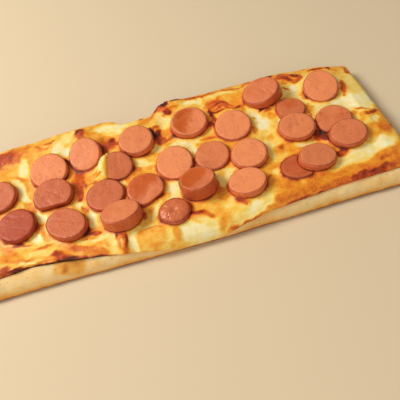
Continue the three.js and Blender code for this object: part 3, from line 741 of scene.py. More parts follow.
def redness_at(points):
    """How strongly the sausage's fat has reddened the cheese."""
    red = np.zeros(len(points))
    for oval in REDDENED:
        red = np.maximum(red, oval_mask(points, *oval, 0))
    return red * uneven(points, *RED_UNEVEN)


print(len(REDDENED), "reddened places")

# %% [markdown]
# ## The cheese
# The cheese is one skin that sags between the slices, climbs their sides, blisters where it browns
# and hangs over the edges. The plain solid gives its height; the rest is added to that height as
# numbers over the grid, because a grid of heights is easy to add to, and it stays one clean skin.
# Its lower surface follows the crust, a little inside it, so that no gap shows at the hem.

# %% Where the cheese ends
CHEESE_STEP = 10
CHEESE_COLUMNS = stations(390, 10, 10)
CHEESE_ROWS = stations(136, 24, 10)
END_HANG = 58.0
ONE_DEGREE = 1.0
AVERAGED = 5


def measured_hang(side):
    """The angle at which the cheese ends on the front (-1) or back (1) flank, at places along it."""
    flank = FRONT_FLANK if side < 0 else BACK_FLANK
    line = FRONT_LINE if side < 0 else BACK_LINE
    found = []
    for x, edge in zip(ALONG, line):
        centre = Vector((x, edge - side * flank, RAY_START))
        last = 0.0
        for degrees in np.arange(0.0, WHOLE_HANG, ONE_DEGREE):
            angle = math.radians(degrees)
            towards = Vector((0, side * math.sin(angle) * flank, math.cos(angle) * RAY_RISE)).normalized()
            start = centre + REACH * towards
            on_cheese = CHEESE.ray_cast(start, -towards, REACH)[3]
            on_crust = CRUST.ray_cast(start, -towards, REACH)[3]
            if on_cheese is not None and (on_crust is None or on_cheese < on_crust):
                last = degrees
        found.append(last)
    padded = np.pad(found, AVERAGED // 2, mode="edge")
    return np.convolve(padded, np.ones(AVERAGED) / AVERAGED, mode="valid")


FRONT_HANG = measured_hang(-1)
BACK_HANG = measured_hang(1)
HANG_WOBBLE = 2.2
WOBBLE_SIZE = 9 * MM


def hang_of(values, seed):
    """A function that gives the hang at any x, with a small waviness of its own."""
    def at(x):
        line = np.stack([x.ravel(), 0 * x.ravel(), 0 * x.ravel()], axis=1)
        wave = rough(line, WOBBLE_SIZE, seed).reshape(x.shape)
        return np.interp(x, ALONG, values) + HANG_WOBBLE * wave
    return at


print("front hang from", FRONT_HANG.min(), "to", FRONT_HANG.max(), "degrees")

# %% [markdown]
# ### Relief on the cheese
# Browned cheese is blistered and burnt cheese is craggy, while cream pools have sunk. Sculpting would
# do, but then the relief and the colours could drift apart, so most of it is worked out from the
# same browning. Only the largest blisters and crags are placed one by one, where the real ones are.
# In one place a flap of cheese lies over the rim of a slice, so the skin is lifted onto it there.

# %% Working on a grid of heights
FILL_PASSES = 900


def beside(values, **padding):
    """The values on the four sides of every grid point; the padding says what lies past the border."""
    padded = np.pad(values, 1, **padding)
    return padded[2:, 1:-1], padded[:-2, 1:-1], padded[1:-1, 2:], padded[1:-1, :-2]


def filled_under(height, covered):
    """Heights with the covered places filled in smoothly from what lies round them."""
    filled = np.where(covered, np.nan, height)
    filled = np.where(np.isnan(filled), np.nanmean(filled), filled)
    for _ in range(FILL_PASSES):
        filled = np.where(covered, sum(beside(filled, mode="edge")) / 4, filled)
    return filled


def grown(mask, steps):
    """A mask grown by some grid steps on every side."""
    for _ in range(steps):
        mask = np.logical_or.reduce([mask, *beside(mask)])
    return mask


def carried_out(height, known):
    """The highest of the known heights beside each grid point."""
    return np.maximum.reduce(beside(np.where(known, height, -FAR), constant_values=-FAR))


spot = np.zeros((5, 5), bool)
spot[2, 2] = True
print("one point, grown by one step, covers", grown(spot, 1).sum(), "points")

# %% Cheese relief
CLIMB = 0.9 * MM
CLIMB_REACH = 1.3 * MM
BLISTER = 0.55 * MM
BLISTER_UNEVEN = (0.25, 0.75, 4.2 * MM, 71)  # mean, swing, size, seed
BLISTER_LEVELS = (0.35, 0.8)
SAG = 0.35 * MM
SAG_LEVELS = (0.1, 0.3)
CRINKLE = 0.16 * MM
CRINKLE_LEAST = 0.4
CRINKLE_SIZE = 2.4 * MM
CRAG_SIZE = 2.6 * MM
BUMP_FALL = 1.4
# Raised blisters: x, y, half length, half width, height (mm).
BLISTERS = [
    (-26, -49.5, 3.6, 6, 1.5), (20, -45, 6, 2.4, 0.9), (-26, 31, 5, 4, 1.0), (8, 31, 4, 6, 0.9),
    (45, 33, 3.4, 5, 0.8), (55, 38.5, 9, 2, 0.9), (-50, 8, 4, 5, 0.7), (18, 46.5, 4, 2.4, 1.0),
    (-44, 48.5, 4, 3, 1.4), (136, 21, 3, 5, 0.7), (141, -5, 5, 1.8, 0.7), (-66, -46.5, 9, 2, 0.9),
    (125, -48, 14, 3, 0.6), (106, 47, 10, 2.4, 0.8), (-96, 48, 7, 4, 0.6), (80, -14.5, 2.4, 2, 0.5),
]
# Craggy, burnt places: x, y, half length, half width, height (mm).
CRAGS = [
    (21, 53.5, 9, 4, 2.4), (18, 46.5, 5, 3, 1.2), (-62, -49, 14, 3, 1.4), (-92, -48, 9, 2.4, 0.6),
    (-26, -49.5, 4, 6, 0.8), (121, -49.5, 15, 3.4, 0.7), (52, 38, 11, 5, 0.8), (8, 29, 5, 8, 1.0),
    (-45, 50, 4, 4, 0.9), (-26, 31, 4, 6, 0.8), (105, 46, 10, 5, 0.7), (141, -6, 6, 3, 0.6),
    (-97, 46, 9, 7, 0.5), (22, -45, 6, 3, 0.7), (107, -14, 4, 6, 0.6), (44, 26, 3, 8, 0.7),
]


def bump(points, x, y, half_long, half_wide):
    """A rounded bump of height 1."""
    dx = (points[:, 0] - x * MM) / (half_long * MM)
    dy = (points[:, 1] - y * MM) / (half_wide * MM)
    return np.exp(-BUMP_FALL * (dx * dx + dy * dy))


def cheese_relief(points, level):
    """What is added to the plain height: climbing, blisters, sagging and crinkles."""
    gap = nearest_slice(points[:, :2])
    added = CLIMB * np.exp(-np.maximum(gap, 0) / CLIMB_REACH)
    added += BLISTER * smooth(*BLISTER_LEVELS, level) * uneven(points, *BLISTER_UNEVEN)
    added -= SAG * (1 - smooth(*SAG_LEVELS, level))
    added += CRINKLE * (CRINKLE_LEAST + level) * rough(points, CRINKLE_SIZE, 81)
    crags = rough(points, CRAG_SIZE, 85, layers=2)
    for raised, surface in ((BLISTERS, 1.0), (CRAGS, crags)):
        for *oval, high in raised:
            added += high * MM * surface * bump(points, *oval)
    return added


print(len(BLISTERS), "blisters and", len(CRAGS), "craggy places")

# %% A flap over the rim of a slice
# Where it lies: slice, a point on its edge (mm) and the way that the cheese came from (degrees, 0 is
# +X, 90 is +Y). It covers what lies that way from the point.
OVER_RIM = [("sausage_slice_13", -27.4, 12, 171)]
OVER_THICK = 0.7 * MM
OVER_EDGE = 1.1 * MM
OVER_RAGGED = 0.5 * MM
RAGGED_SIZE = 5 * MM
SLOPE_STEPS = 6


def draped(reach, on_slice, centre, towards, points):
    """Lays the cheese over the rims named in OVER_RIM, and says where it did."""
    bare = np.isnan(on_slice)
    laid = np.zeros(reach.shape, bool)
    for name, *edge_line in OVER_RIM:
        on_this = distances(tree_of(SOLIDS[name]), centre, towards)
        found = ~np.isnan(on_this)
        on_this = np.where(found, np.fmax(on_this, carried_out(on_this, found)), np.nan)
        beyond = turned(points, *edge_line)[0] + OVER_RAGGED * rough(points, RAGGED_SIZE, 87)
        beyond = beyond.reshape(reach.shape)
        on_top = (beyond > -OVER_EDGE) & found
        lift = OVER_THICK * (2 * smooth(-OVER_EDGE, OVER_EDGE, beyond) - 1)
        lying = np.where(on_top, on_this + lift, reach)
        brink = grown(on_top, 1) & ~on_top & bare
        lying = np.where(brink, carried_out(lying, on_top), lying)
        slope = grown(on_top, SLOPE_STEPS) & ~on_top & ~brink & bare
        reach = filled_under(lying, slope)
        laid |= on_top | brink | slope
    return reach, laid


print(len(OVER_RIM), "flap of cheese over a rim")

# %% Cheese mesh
HEM_ROUND = 1.4 * MM
HEM_HIDDEN = 0.5 * MM
UNDER_HIDDEN = 0.6 * MM
LEAST_THICK = 0.3 * MM
CLEAR_STEPS = 2


def edge_rounding(place):
    """0 on the hem and 1 a little way in from it, along each grid line."""
    rounding = np.ones(place.shape[:2])
    for axis in (0, 1):
        step = np.linalg.norm(np.diff(place, axis=axis), axis=-1)
        for end in (False, True):
            run = np.cumsum(np.flip(step, axis) if end else step, axis=axis)
            pad = [(0, 0), (0, 0)]
            pad[axis] = (1, 0)
            run = np.pad(run, pad)
            run = np.flip(run, axis) if end else run
            near = np.clip(run / HEM_ROUND, 0, 1)
            rounding = np.minimum(rounding, np.sqrt(1 - (1 - near) ** 2))
    return rounding


def make_cheese():
    """Makes the skin: its mesh, its outer points, how far they are baked and where it is a flap."""
    hangs = hang_of(FRONT_HANG, 91), hang_of(BACK_HANG, 95)
    centre, towards = grid_rays(CHEESE_COLUMNS, CHEESE_ROWS, *hangs, END_HANG)
    on_cheese, on_crust, on_slice = (distances(tree, centre, towards) for tree in (CHEESE, CRUST, SLICES))
    covered = grown(~np.isnan(on_slice), CLEAR_STEPS)
    unseen = np.isnan(on_cheese) | (on_cheese < on_crust)
    crust_reach = filled_under(on_crust, covered)
    reach = filled_under(on_cheese, covered | unseen)
    points = (centre + towards * reach[..., None]).reshape(-1, 3)
    level = browning_and_painted_light_at(points)
    reach = reach + cheese_relief(points, level).reshape(reach.shape)
    reach, laid = draped(reach, on_slice, centre, towards, points)
    hem = edge_rounding(centre + towards * reach[..., None])
    thick = np.maximum(reach - crust_reach, LEAST_THICK) + HEM_HIDDEN
    reach = crust_reach - HEM_HIDDEN + thick * hem
    outer = centre + towards * reach[..., None]
    inner = centre + towards * (np.minimum(crust_reach, reach) - UNDER_HIDDEN)[..., None]
    return shell_mesh("cheese", outer, inner, CHEESE_STEP), outer, level, laid


cheese_mesh, cheese_outer, cheese_level, cheese_laid = make_cheese()
cheese = add_piece("melted_cheese", cheese_mesh, "cheese")
print("cheese:", len(cheese.data.polygons), "faces")

# %% [markdown]
# ### Colour values for the cheese
# The shader needs the browning, with its painted shade and highlights, as one number per point. The hem
# of the skin always bakes hardest, because it is thin and hangs free, so a dark line is added along it
# before the numbers are kept. A darker ring round each slice is added too: partly browning, partly
# painted contact shade.

# %% Keep the browning
HEM_BROWN = [(-160, 0.62), (-104, 0.72), (-90, 0.94), (-78, 1.0), (-60, 1.0), (-44, 0.9), (-34, 0.8),
             (-26, 0.7), (-18, 0.5), (0, 0.42), (30, 0.44), (60, 0.6), (80, 0.68), (95, 0.66),
             (105, 0.56), (120, 0.66), (160, 0.6)]
HEM_REACH = [(-160, 2.0), (-90, 2.0), (-70, 2.6), (-62, 3.6), (-44, 3.0), (-30, 1.8), (0, 1.0),
             (60, 1.4), (160, 1.6)]
BACK_BROWN = [(-160, 0.6), (-104, 0.76), (-80, 0.8), (-74, 0.5), (-52, 0.4), (-42, 0.8), (-26, 0.82),
              (-18, 0.6), (-8, 0.6), (4, 0.66), (9, 0.8), (13, 1.0), (40, 1.0), (44, 0.86), (60, 0.96),
              (72, 0.92), (77, 0.56), (88, 0.6), (94, 0.9), (112, 0.9), (120, 0.84), (134, 0.7),
              (142, 0.5), (160, 0.5)]
BACK_REACH = [(-160, 3.4), (-100, 5.6), (-80, 5.6), (-70, 3.4), (-46, 4.6), (-40, 6.6), (-24, 6.6),
              (-14, 4.4), (0, 4.4), (10, 6.6), (27, 7.4), (32, 7.4), (70, 7.4), (78, 4.4), (92, 6.0),
              (112, 6.6), (132, 5.6), (140, 3.4), (160, 3.4)]

# The ring round each slice: partly browning, partly painted contact shade where the slice meets the
# cheese.
RIM_REACH = 0.8 * MM
RIM_BROWN_AND_SHADE = 0.62
RIM_UNEVEN = (0.6, 0.5, 6 * MM, 111)  # mean, swing, size, seed
END_BROWN = 0.25
END_REACH = (1.0 * MM, 5.0 * MM)
HEM_FADE = (0.5, 1.1)
HEM_UNEVEN = (1, 0.5, 5 * MM, 101)
HIDDEN_LEVEL = 0.5


def along_side(knots, x):
    """A value that changes along a side, from hand-set (x in mm, value) knots."""
    return np.interp(x / MM, [k[0] for k in knots], [k[1] for k in knots])


def finish_browning_and_shade():
    """The browning with the darker hems, a darker ring round each slice that is partly painted contact
    shade, and the redness, for all outer points of the cheese.
    """
    flat = cheese_outer.reshape(-1, 3)
    level = cheese_level.copy()
    x = flat[:, 0]
    ragged = uneven(flat, *HEM_UNEVEN)
    for row, brown, reach in ((0, HEM_BROWN, HEM_REACH), (-1, BACK_BROWN, BACK_REACH)):
        from_hem = np.linalg.norm(cheese_outer - cheese_outer[:, [row]], axis=-1).ravel()
        width = along_side(reach, x) * MM * ragged
        mask = 1 - smooth(*HEM_FADE, from_hem / width)
        level += (along_side(brown, x) - level) * mask
    # A darker ring round each slice: partly browning, partly painted contact shade.
    gap = nearest_slice(flat[:, :2])
    rim = np.exp(-np.maximum(gap, 0) / RIM_REACH) * uneven(flat, *RIM_UNEVEN)
    level += RIM_BROWN_AND_SHADE * rim * ~cheese_laid.ravel()
    ends = np.minimum(np.abs(x - CAD_LOW.x), np.abs(x - CAD_HIGH.x))
    level += END_BROWN * (1 - smooth(*END_REACH, ends * ragged))
    return level, redness_at(flat)


def pad_to(values, mesh, filler):
    """Values for the outer points, followed by one filler for each inner point."""
    return np.concatenate([values, np.full(len(mesh.vertices) - len(values), filler)])


level, red = finish_browning_and_shade()
# The kept number also holds the painted shadows, highlights and shade ring.
keep_values(cheese.data, "baked", pad_to(level, cheese.data, HIDDEN_LEVEL))
keep_values(cheese.data, "reddened", pad_to(red, cheese.data, 0.0))
print("browning from", round(float(level.min()), 2), "to", round(float(level.max()), 2))

# %% [markdown]
# ### Colour values for the crust
# The crust is browner near its foot and on its underside, and darker in patches under the burnt lip. A
# dark line runs along the very foot, partly burnt dough and partly painted contact shadow, so the
# number rises steeply there; it is kept with the points, as for the cheese.

# %% Keep the crust's browning
CRUST_PLAIN = 0.14
CRUST_PATCHES = [(0.16, 14 * MM, 121), (0.12, 4 * MM, 131)]  # strength, size, seed
# The second entry is a dark line at the very foot: partly burnt dough, partly painted contact shadow.
CRUST_FOOT_BROWN_AND_SHADE = [(0.34, 1.0, 6.5), (0.45, 1.2, 2.4)]  # strength, and the heights (mm) where it fades
UNDERSIDE = 0.1 * MM
UNDERSIDE_BROWN = (0.55, 0.2, 16 * MM, 141)  # mean, swing, size, seed
# Darker patches on the flank under the burnt lip: x, z, half length, half height (mm), strength.
DARK_FLANK_PATCHES = [(-58, 8, 8, 4, 0.35), (-66, 9, 5, 2.4, 0.3), (-44, 7, 6, 2, 0.15), (-100, 4, 8, 3, 0.16)]


def crust_browning_and_shade(points):
    """How far the crust is baked at each point, with a painted contact shadow along the foot and darker
    patches under the lip.
    """
    level = np.full(len(points), CRUST_PLAIN)
    for strength, size, seed in CRUST_PATCHES:
        level += strength * rough(points, size, seed)
    for strength, low, high in CRUST_FOOT_BROWN_AND_SHADE:
        level += strength * (1 - smooth(low * MM, high * MM, points[:, 2]))
    sideways = points[:, [0, 2, 1]]
    for *oval, strength in DARK_FLANK_PATCHES:
        level += strength * oval_mask(sideways, *oval, 0)
    under = points[:, 2] < UNDERSIDE
    level[under] = uneven(points[under], *UNDERSIDE_BROWN)
    return level


crust_level = crust_browning_and_shade(read_points(crust.data))
# The kept number also holds the painted contact shadow at the foot.
keep_values(crust.data, "baked", crust_level)
print("crust browning up to", round(float(crust_level.max()), 2))

# %% [markdown]
# ## The sausage slices
# A slice of frankfurter has a smooth cut face, a soft edge where the skin has shrunk, and a darker
# side. The plain solids have sixteen flat sides. A voxel remesh turns each into an even net of small
# faces and keeps the bites that a neighbour has pressed into it; a smooth modifier rounds the edges.
# Random hills then push the rim out of round, so that no two slices are alike. The direction of
# each mesh point, compared with that of the cut face, tells the face from the side.

# %% A fine net over each slice
SLICE_VOXEL = 0.5 * MM
ROUNDING_PASSES = 12
ROUNDING = 0.5


def refined_mesh(name):
    """A fine, softened copy of a solid."""
    holder = bpy.data.objects.new("shaping", SOLIDS[name].copy())
    bpy.context.scene.collection.objects.link(holder)
    net = holder.modifiers.new("net", "REMESH")
    net.mode = "VOXEL"
    net.voxel_size = SLICE_VOXEL
    soft = holder.modifiers.new("soft", "SMOOTH")
    soft.factor = ROUNDING
    soft.iterations = ROUNDING_PASSES
    ready = holder.evaluated_get(bpy.context.evaluated_depsgraph_get())
    mesh = bpy.data.meshes.new_from_object(ready)
    mesh.name = name
    mesh.materials.clear()
    bpy.data.objects.remove(holder)
    return mesh


print("voxels of", SLICE_VOXEL / MM, "mm")

# %% Which way a slice faces
FACE_UP = 0.85


def cut_face(name):
    """The direction that the cut face looks in."""
    total = Vector((0, 0, 0))
    for face in SOLIDS[name].polygons:
        if face.normal.z > FACE_UP:
            total += face.normal * face.area
    return total.normalized()


leaning = math.degrees(math.acos(cut_face("sausage_slice_25").z))
print("the slanting slice in front leans by", round(leaning), "degrees")

# %% [markdown]
# ### Creases and folds
# A slice wrinkles as it dries, and one piece is the tied end of the sausage, with folds round a dent.
# Both could be sculpted, but a few numbers are easier to change: each crease is a soft groove along
# a given line, and the folds are a wave that runs round the dent.

# %% Creases
CREASE_WIDE = 0.8 * MM
CREASE_DEPTH = 0.55
CREASE_WANDER = 1.6 * MM
WANDER_LENGTH = 5 * MM
# Creases in the faces: slice, x, y, turn (degrees), half length, depth (mm).
CREASES = [
    (23, 85.0, 31.0, -62, 5.0, 0.8), (23, 88.5, 28.0, -70, 4.0, 0.6), (23, 80.0, 36.0, 20, 6.0, 0.3),
    (24, -61, -25, -22, 9, 0.3), (24, -57, -30, -28, 8, 0.25), (4, -63, -3, -38, 8, 0.4),
    (4, -69, -7, -50, 5, 0.35), (4, -66, 4, 5, 7, 0.25), (2, -92, -12, -18, 9, 0.3),
    (2, -88, -21, -24, 7, 0.3), (19, 121, -3, 22, 7, 0.35), (19, 113, -8, 30, 5, 0.3),
    (20, 121, -24, 14, 8, 0.35), (20, 117, -17, 60, 5, 0.25), (22, 96, 0, 84, 8, 0.25),
    (22, 91, -6, 66, 5, 0.3), (1, -99, 10, 60, 6, 0.3), (13, -21, 10, 76, 6, 0.3),
    (25, -24, -29, 20, 7, 0.25), (14, -10, -13, 70, 6, 0.3), (14, -4, -19, 40, 6, 0.25),
    (15, -34, -12, 30, 7, 0.3), (15, -30, -5, 60, 5, 0.2), (21, 98, 18, 40, 6, 0.3),
    (3, -68, 13, -8, 9, 0.3), (12, 53, -30, 12, 7, 0.25), (5, -43, 30, -60, 7, 0.2),
    (17, 80, -34, 30, 6, 0.3), (26, 24, -22, 10, 7, 0.3), (7, 26, 32, 30, 5, 0.45),
]
END = 0


def slice_number(name):
    """The number in a slice's name; the tied end counts as 0."""
    return int(name[-2:]) if name[-2:].isdigit() else END


def creases(points, number):
    """The depth of the creases that belong to one slice."""
    depth = np.zeros(len(points))
    wander = CREASE_WANDER * rough(points, WANDER_LENGTH, 611)
    for owner, x, y, turn, half_long, deep in CREASES:
        if owner == number:
            along, across = turned(points, x, y, turn)
            along, across = along / (half_long * MM), (across + wander) / CREASE_WIDE
            depth += deep * MM * np.exp(-across * across) * np.exp(-along * along)
    return CREASE_DEPTH * depth


print(len(CREASES), "creases")

# %% Folds of the tied end
END_FOLDS = 13
END_FOLD = 0.22 * MM
FOLD_BEND = 0.35
BEND_SIZE = 3 * MM
END_DENT = Vector((-1.6, 0.6)) * MM
DENT_RIM = (0.4 * MM, 1.8 * MM)
FOLDS_FADE = (3 * MM, 8.5 * MM)


def end_folds(points):
    """Small folds that run out from the dent where the end of the sausage was tied."""
    outline = OUTLINES["sausage_end"]
    middle = (outline.min(0) + outline.max(0)) / 2
    dx, dy = points[:, 0] - middle[0] - END_DENT.x, points[:, 1] - middle[1] - END_DENT.y
    distance = np.hypot(dx, dy)
    angle = np.arctan2(dy, dx) + FOLD_BEND * hills(points, BEND_SIZE, 601)
    reach = smooth(*DENT_RIM, distance) * (1 - smooth(*FOLDS_FADE, distance))
    return END_FOLD * np.cos(END_FOLDS * angle) * reach


print(END_FOLDS, "folds")

# %% Where a slice comes out of the cheese
TOP_OF_CHEESE = tree_of(cheese.data)
FOOT_REACH = 1.8 * MM


def nearness_to_cheese(points):
    """1 where a slice comes out of the cheese, 0 a little higher."""
    gaps = [TOP_OF_CHEESE.find_nearest(p)[3] for p in points.tolist()]
    return 1 - smooth(0, FOOT_REACH, np.array(gaps))


print("the foot line reaches", FOOT_REACH / MM, "mm up a slice")

# %% Slice meshes
OUT_OF_ROUND = 0.5 * MM
SKIN_WRINKLE = 0.16 * MM
FACE_UNEVEN = 0.45 * MM
HILL_SIZE = 8 * MM
WRINKLE_SIZE = 1.8 * MM
# The wrinkles of the skin run up the side, so their pattern is drawn out along Z.
UPRIGHT = np.array([1, 1, 0.35])
# How far a normal agrees with the cut face's: below the first it is on the side, above the second
# it is on the face.
SIDE_FROM, SIDE_TO = 0.3, 0.9
HALF_SLICE = 12 * MM


def add_slice(name, number):
    """Makes the finer mesh of one slice; the number picks its random hills."""
    mesh = refined_mesh(name)
    points, normals = read_points(mesh), read_points(mesh, "normal")
    facing = normals @ np.array(cut_face(name))
    side = 1 - smooth(SIDE_FROM, SIDE_TO, facing)
    push = OUT_OF_ROUND * hills(points, HILL_SIZE, 200 + number) * side
    push += SKIN_WRINKLE * rough(points * UPRIGHT, WRINKLE_SIZE, 300 + number) * side
    push += FACE_UNEVEN * rough(points, HILL_SIZE, 400 + number) * (1 - side)
    if name == "sausage_end":
        push += end_folds(points)
    push -= creases(points, slice_number(name)) * (1 - side)
    points += normals * push[:, None]
    mesh.vertices.foreach_set("co", points.astype(np.float32).ravel())
    mesh.shade_smooth()
    keep_values(mesh, "facing", facing)
    depth = -distance_outside(OUTLINES[name], points[:, :2])
    keep_values(mesh, "inward", np.clip(depth / HALF_SLICE, 0, 1))
    # The foot number darkens a slice where it meets the cheese: partly browning, partly painted contact
    # shade.
    keep_values(mesh, "foot", nearness_to_cheese(points) * side)
    return add_piece(name.replace("sausage", "frankfurter"), mesh, name)


slices = {name: add_slice(name, number) for number, name in enumerate(SLICE_NAMES)}
print(len(slices), "slices,", sum(len(s.data.polygons) for s in slices.values()), "faces")

# %% [markdown]
# ### How each slice is baked
# Some slices are pale and some are dark, and a few are baked orange or brown in the middle. The
# numbers below are set for each slice and kept with its mesh: tone runs from pale, 0, to dark
# red, 1, toast says how much one side of the face has browned, and wet is for shiny, fatty pieces.

# %% Tone and toast
TONE = {1: 0.6, 2: 1.0, 3: 0.0, 4: 0.66, 5: 0.16, 6: 0.18, 7: 0.22, 8: 0.08, 9: 0.06, 10: 0.36,
        11: 0.0, 12: 0.02, 13: 0.52, 14: 0.35, 15: 0.62, 16: 0.14, 17: 0.78, 18: 0.34, 19: 0.34,
        20: 0.38, 21: 0.5, 22: 0.28, 23: 0.42, 24: 0.6, 25: 0.3, 26: 0.5, 27: 0.5, 28: 0.2,
        29: 0.35, 30: 0.6, END: 0.55}
# The browned part of a face: how strong it is, and the side it lies on (degrees, 90 is the back).
TOAST = {7: (0.7, 150), 14: (0.95, 120), 26: (0.9, 130), 21: (0.5, 60), 23: (0.35, 120),
         17: (0.4, 200), 19: (0.3, 70), 2: (0.3, 100), 10: (0.2, 300), 24: (0.25, 160)}
WET = {END: 1.0, 7: 0.3, 26: 0.3}
TOAST_FADE = (-8 * MM, 5 * MM)


def toasted_side(name, points):
    """How much each point of a slice has browned."""
    amount, turn = TOAST.get(slice_number(name), (0.0, 0.0))
    middle = OUTLINES[name].mean(0)
    angle = math.radians(turn)
    towards = (points[:, :2] - middle) @ np.array([math.cos(angle), math.sin(angle)])
    return amount * smooth(*TOAST_FADE, towards)


for name, piece in slices.items():
    number = slice_number(name)
    count = len(piece.data.vertices)
    keep_values(piece.data, "tone", np.full(count, TONE[number]))
    keep_values(piece.data, "toast", toasted_side(name, read_points(piece.data)))
    keep_values(piece.data, "wet", np.full(count, WET.get(number, 0.0)))
print("tones from", min(TONE.values()), "to", max(TONE.values()), "and", len(TOAST), "toasted faces")

# %% [markdown]
# ## Shader groups
# Three effects are wanted by more than one finish. They could be built again in each material, but a
# node group with named sockets is built once and mended in one place. Mottle breaks up a smooth
# number with noise. Grain gives a fine uneven height for a Bump node. Pores are scattered small
# dots: bubbles in dough, pits in cut sausage and toasted specks on cheese.


# %% Small helpers for nodes
def put(tree, value, socket):
    """Joins a socket to another one, or sets it where the value is a plain one."""
    if isinstance(value, bpy.types.NodeSocket):
        tree.links.new(value, socket)
    else:
        socket.default_value = value


def add_node(tree, kind, at, inputs=None, **settings):
    """Adds a node at a place in the editor, sets its properties and fills its inputs."""
    node = tree.nodes.new(kind)
    node.location = at
    for key, value in settings.items():
        setattr(node, key, value)
    for key, value in (inputs or {}).items():
        put(tree, value, node.inputs[key])
    return node


def add_math(tree, operation, at, first, second):
    """Two numbers, each a socket or a value, put together by a Math node."""
    return add_node(tree, "ShaderNodeMath", at, {0: first, 1: second}, operation=operation).outputs[0]


def add_noise(tree, at, place, scale, detail, roughness=0.5):
    """A cloudy number between 0 and 1."""
    inputs = {"Vector": place, "Scale": scale, "Detail": detail, "Roughness": roughness}
    return add_node(tree, "ShaderNodeTexNoise", at, inputs).outputs["Fac"]


def remap(tree, value, at, low, high, to_low, to_high):
    """Maps one range of a number softly to another."""
    inputs = {"Value": value, "From Min": low, "From Max": high, "To Min": to_low, "To Max": to_high}
    node = add_node(tree, "ShaderNodeMapRange", at, inputs, interpolation_type="SMOOTHSTEP")
    return node.outputs["Result"]


FLOAT, VECTOR = "NodeSocketFloat", "NodeSocketVector"


def new_group(name, result, **numbers):
    """A node group that takes a place and some numbers, and gives one number."""
    group = bpy.data.node_groups.new(name, "ShaderNodeTree")
    group.interface.new_socket("Place", in_out="INPUT", socket_type=VECTOR)
    for label, default in numbers.items():
        socket = group.interface.new_socket(label, in_out="INPUT", socket_type=FLOAT)
        socket.default_value = default
    group.interface.new_socket(result, in_out="OUTPUT", socket_type=FLOAT)
    given = add_node(group, "NodeGroupInput", (-800, 0)).outputs
    return group, given, add_node(group, "NodeGroupOutput", (600, 0)).inputs[result]


# %% Mottle
def make_mottle():
    """Adds noise to a number."""
    group, given, result = new_group("mottle", "Value", Value=0.5, Scale=300.0, Amount=0.2)
    noise = add_noise(group, (-500, 100), given["Place"], given["Scale"], 4.0, 0.6)
    centred = add_math(group, "SUBTRACT", (-250, 100), noise, 0.5)
    scaled = add_math(group, "MULTIPLY", (-50, 100), centred, given["Amount"])
    put(group, add_math(group, "ADD", (200, 0), given["Value"], scaled), result)
    return group


MOTTLE = make_mottle()
print("mottle:", len(MOTTLE.nodes), "nodes")


# %% Grain
def make_grain():
    """A height made of coarse and fine noise."""
    group, given, result = new_group("grain", "Height", Coarse=400.0, Fine=2000.0, Share=0.4)
    coarse = add_noise(group, (-500, 200), given["Place"], given["Coarse"], 3.0)
    fine = add_noise(group, (-500, -100), given["Place"], given["Fine"], 2.0)
    inputs = {"Factor": given["Share"], "A": coarse, "B": fine}
    blend = add_node(group, "ShaderNodeMix", (-100, 0), inputs, data_type="FLOAT")
    put(group, blend.outputs["Result"], result)
    return group


GRAIN = make_grain()
print("grain:", len(GRAIN.nodes), "nodes")


# %% Pores
def make_pores():
    """Scattered small round dots: 1 in a dot, 0 between them."""
    group, given, result = new_group("pores", "Mask", Scale=500.0, Size=0.2, Share=0.4)
    inputs = {"Vector": given["Place"], "Scale": given["Scale"]}
    cells = add_node(group, "ShaderNodeTexVoronoi", (-500, 100), inputs).outputs
    inside = remap(group, cells["Distance"], (-200, 200), 0.0, given["Size"], 1.0, 0.0)
    separate = add_node(group, "ShaderNodeSeparateColor", (-350, -100), {"Color": cells["Color"]})
    chosen = add_math(group, "LESS_THAN", (-200, -100), separate.outputs["Red"], given["Share"])
    put(group, add_math(group, "MULTIPLY", (100, 100), inside, chosen), result)
    return group


PORES = make_pores()
print("pores:", len(PORES.nodes), "nodes")


# %% [markdown]
# ## Finishes
# Each finish starts from the number kept with its mesh, breaks it up with Mottle, and turns it into
# colour with a ramp or a mix. It could all be painted on an image, but nodes stay sharp from close
# by. The shader stays in the material, where its plain values can be read at a glance.


# %% Helpers for finishes
def new_finish(name, plain_values):
    """A material whose shader has some plain values, with its nodes and the place on the object."""
    material = bpy.data.materials.new(name)
    material.use_nodes = True
    tree = material.node_tree
    shader = tree.nodes["Principled BSDF"]
    shader.location = (900, 0)
    for socket, value in plain_values.items():
        shader.inputs[socket].default_value = value
    place = add_node(tree, "ShaderNodeTexCoord", (-1300, 0)).outputs["Object"]
    return material, tree, shader.inputs, place


def use_group(tree, group, at, place, **values):
    """Places a node group, fills its sockets and gives the one that it puts out."""
    return add_node(tree, "ShaderNodeGroup", at, {"Place": place, **values}, node_tree=group).outputs[0]


def kept(tree, name, at):
    """Reads a number kept with the mesh."""
    return add_node(tree, "ShaderNodeAttribute", at, attribute_name=name).outputs["Fac"]


def ramp(tree, at, value, stops):
    """The colour that a ramp with (position, colour) stops gives to a number."""
    node = add_node(tree, "ShaderNodeValToRGB", at, {"Fac": value})
    elements = node.color_ramp.elements
    while len(elements) < len(stops):
        elements.new(0.5)
    for element, (position, colour) in zip(elements, stops):
        element.position = position
        element.color = colour
    return node.outputs["Color"]


def mix_colour(tree, at, factor, first, second, blend="MIX"):
    """Mixes two colours, given as sockets or as values."""
    inputs = {0: factor, 6: first, 7: second}
    return add_node(tree, "ShaderNodeMix", at, inputs, data_type="RGBA", blend_type=blend).outputs[2]


def add_bump(tree, at, height, distance, strength, **before):
    """A Bump node on a height; Normal=... lays it on top of an earlier one."""
    inputs = {"Height": height, "Distance": distance, "Strength": strength, **before}
    return add_node(tree, "ShaderNodeBump", at, inputs).outputs["Normal"]


# %% [markdown]
# ### The finish of the cheese
# Fresh cheese is cream and oily, baked cheese is gold to orange, and burnt cheese is black and dry.
# These colours could be mixed one by one with masks. One ramp is simpler, and it keeps them in the
# order in which cheese goes through them. The same number makes the burnt places rough.

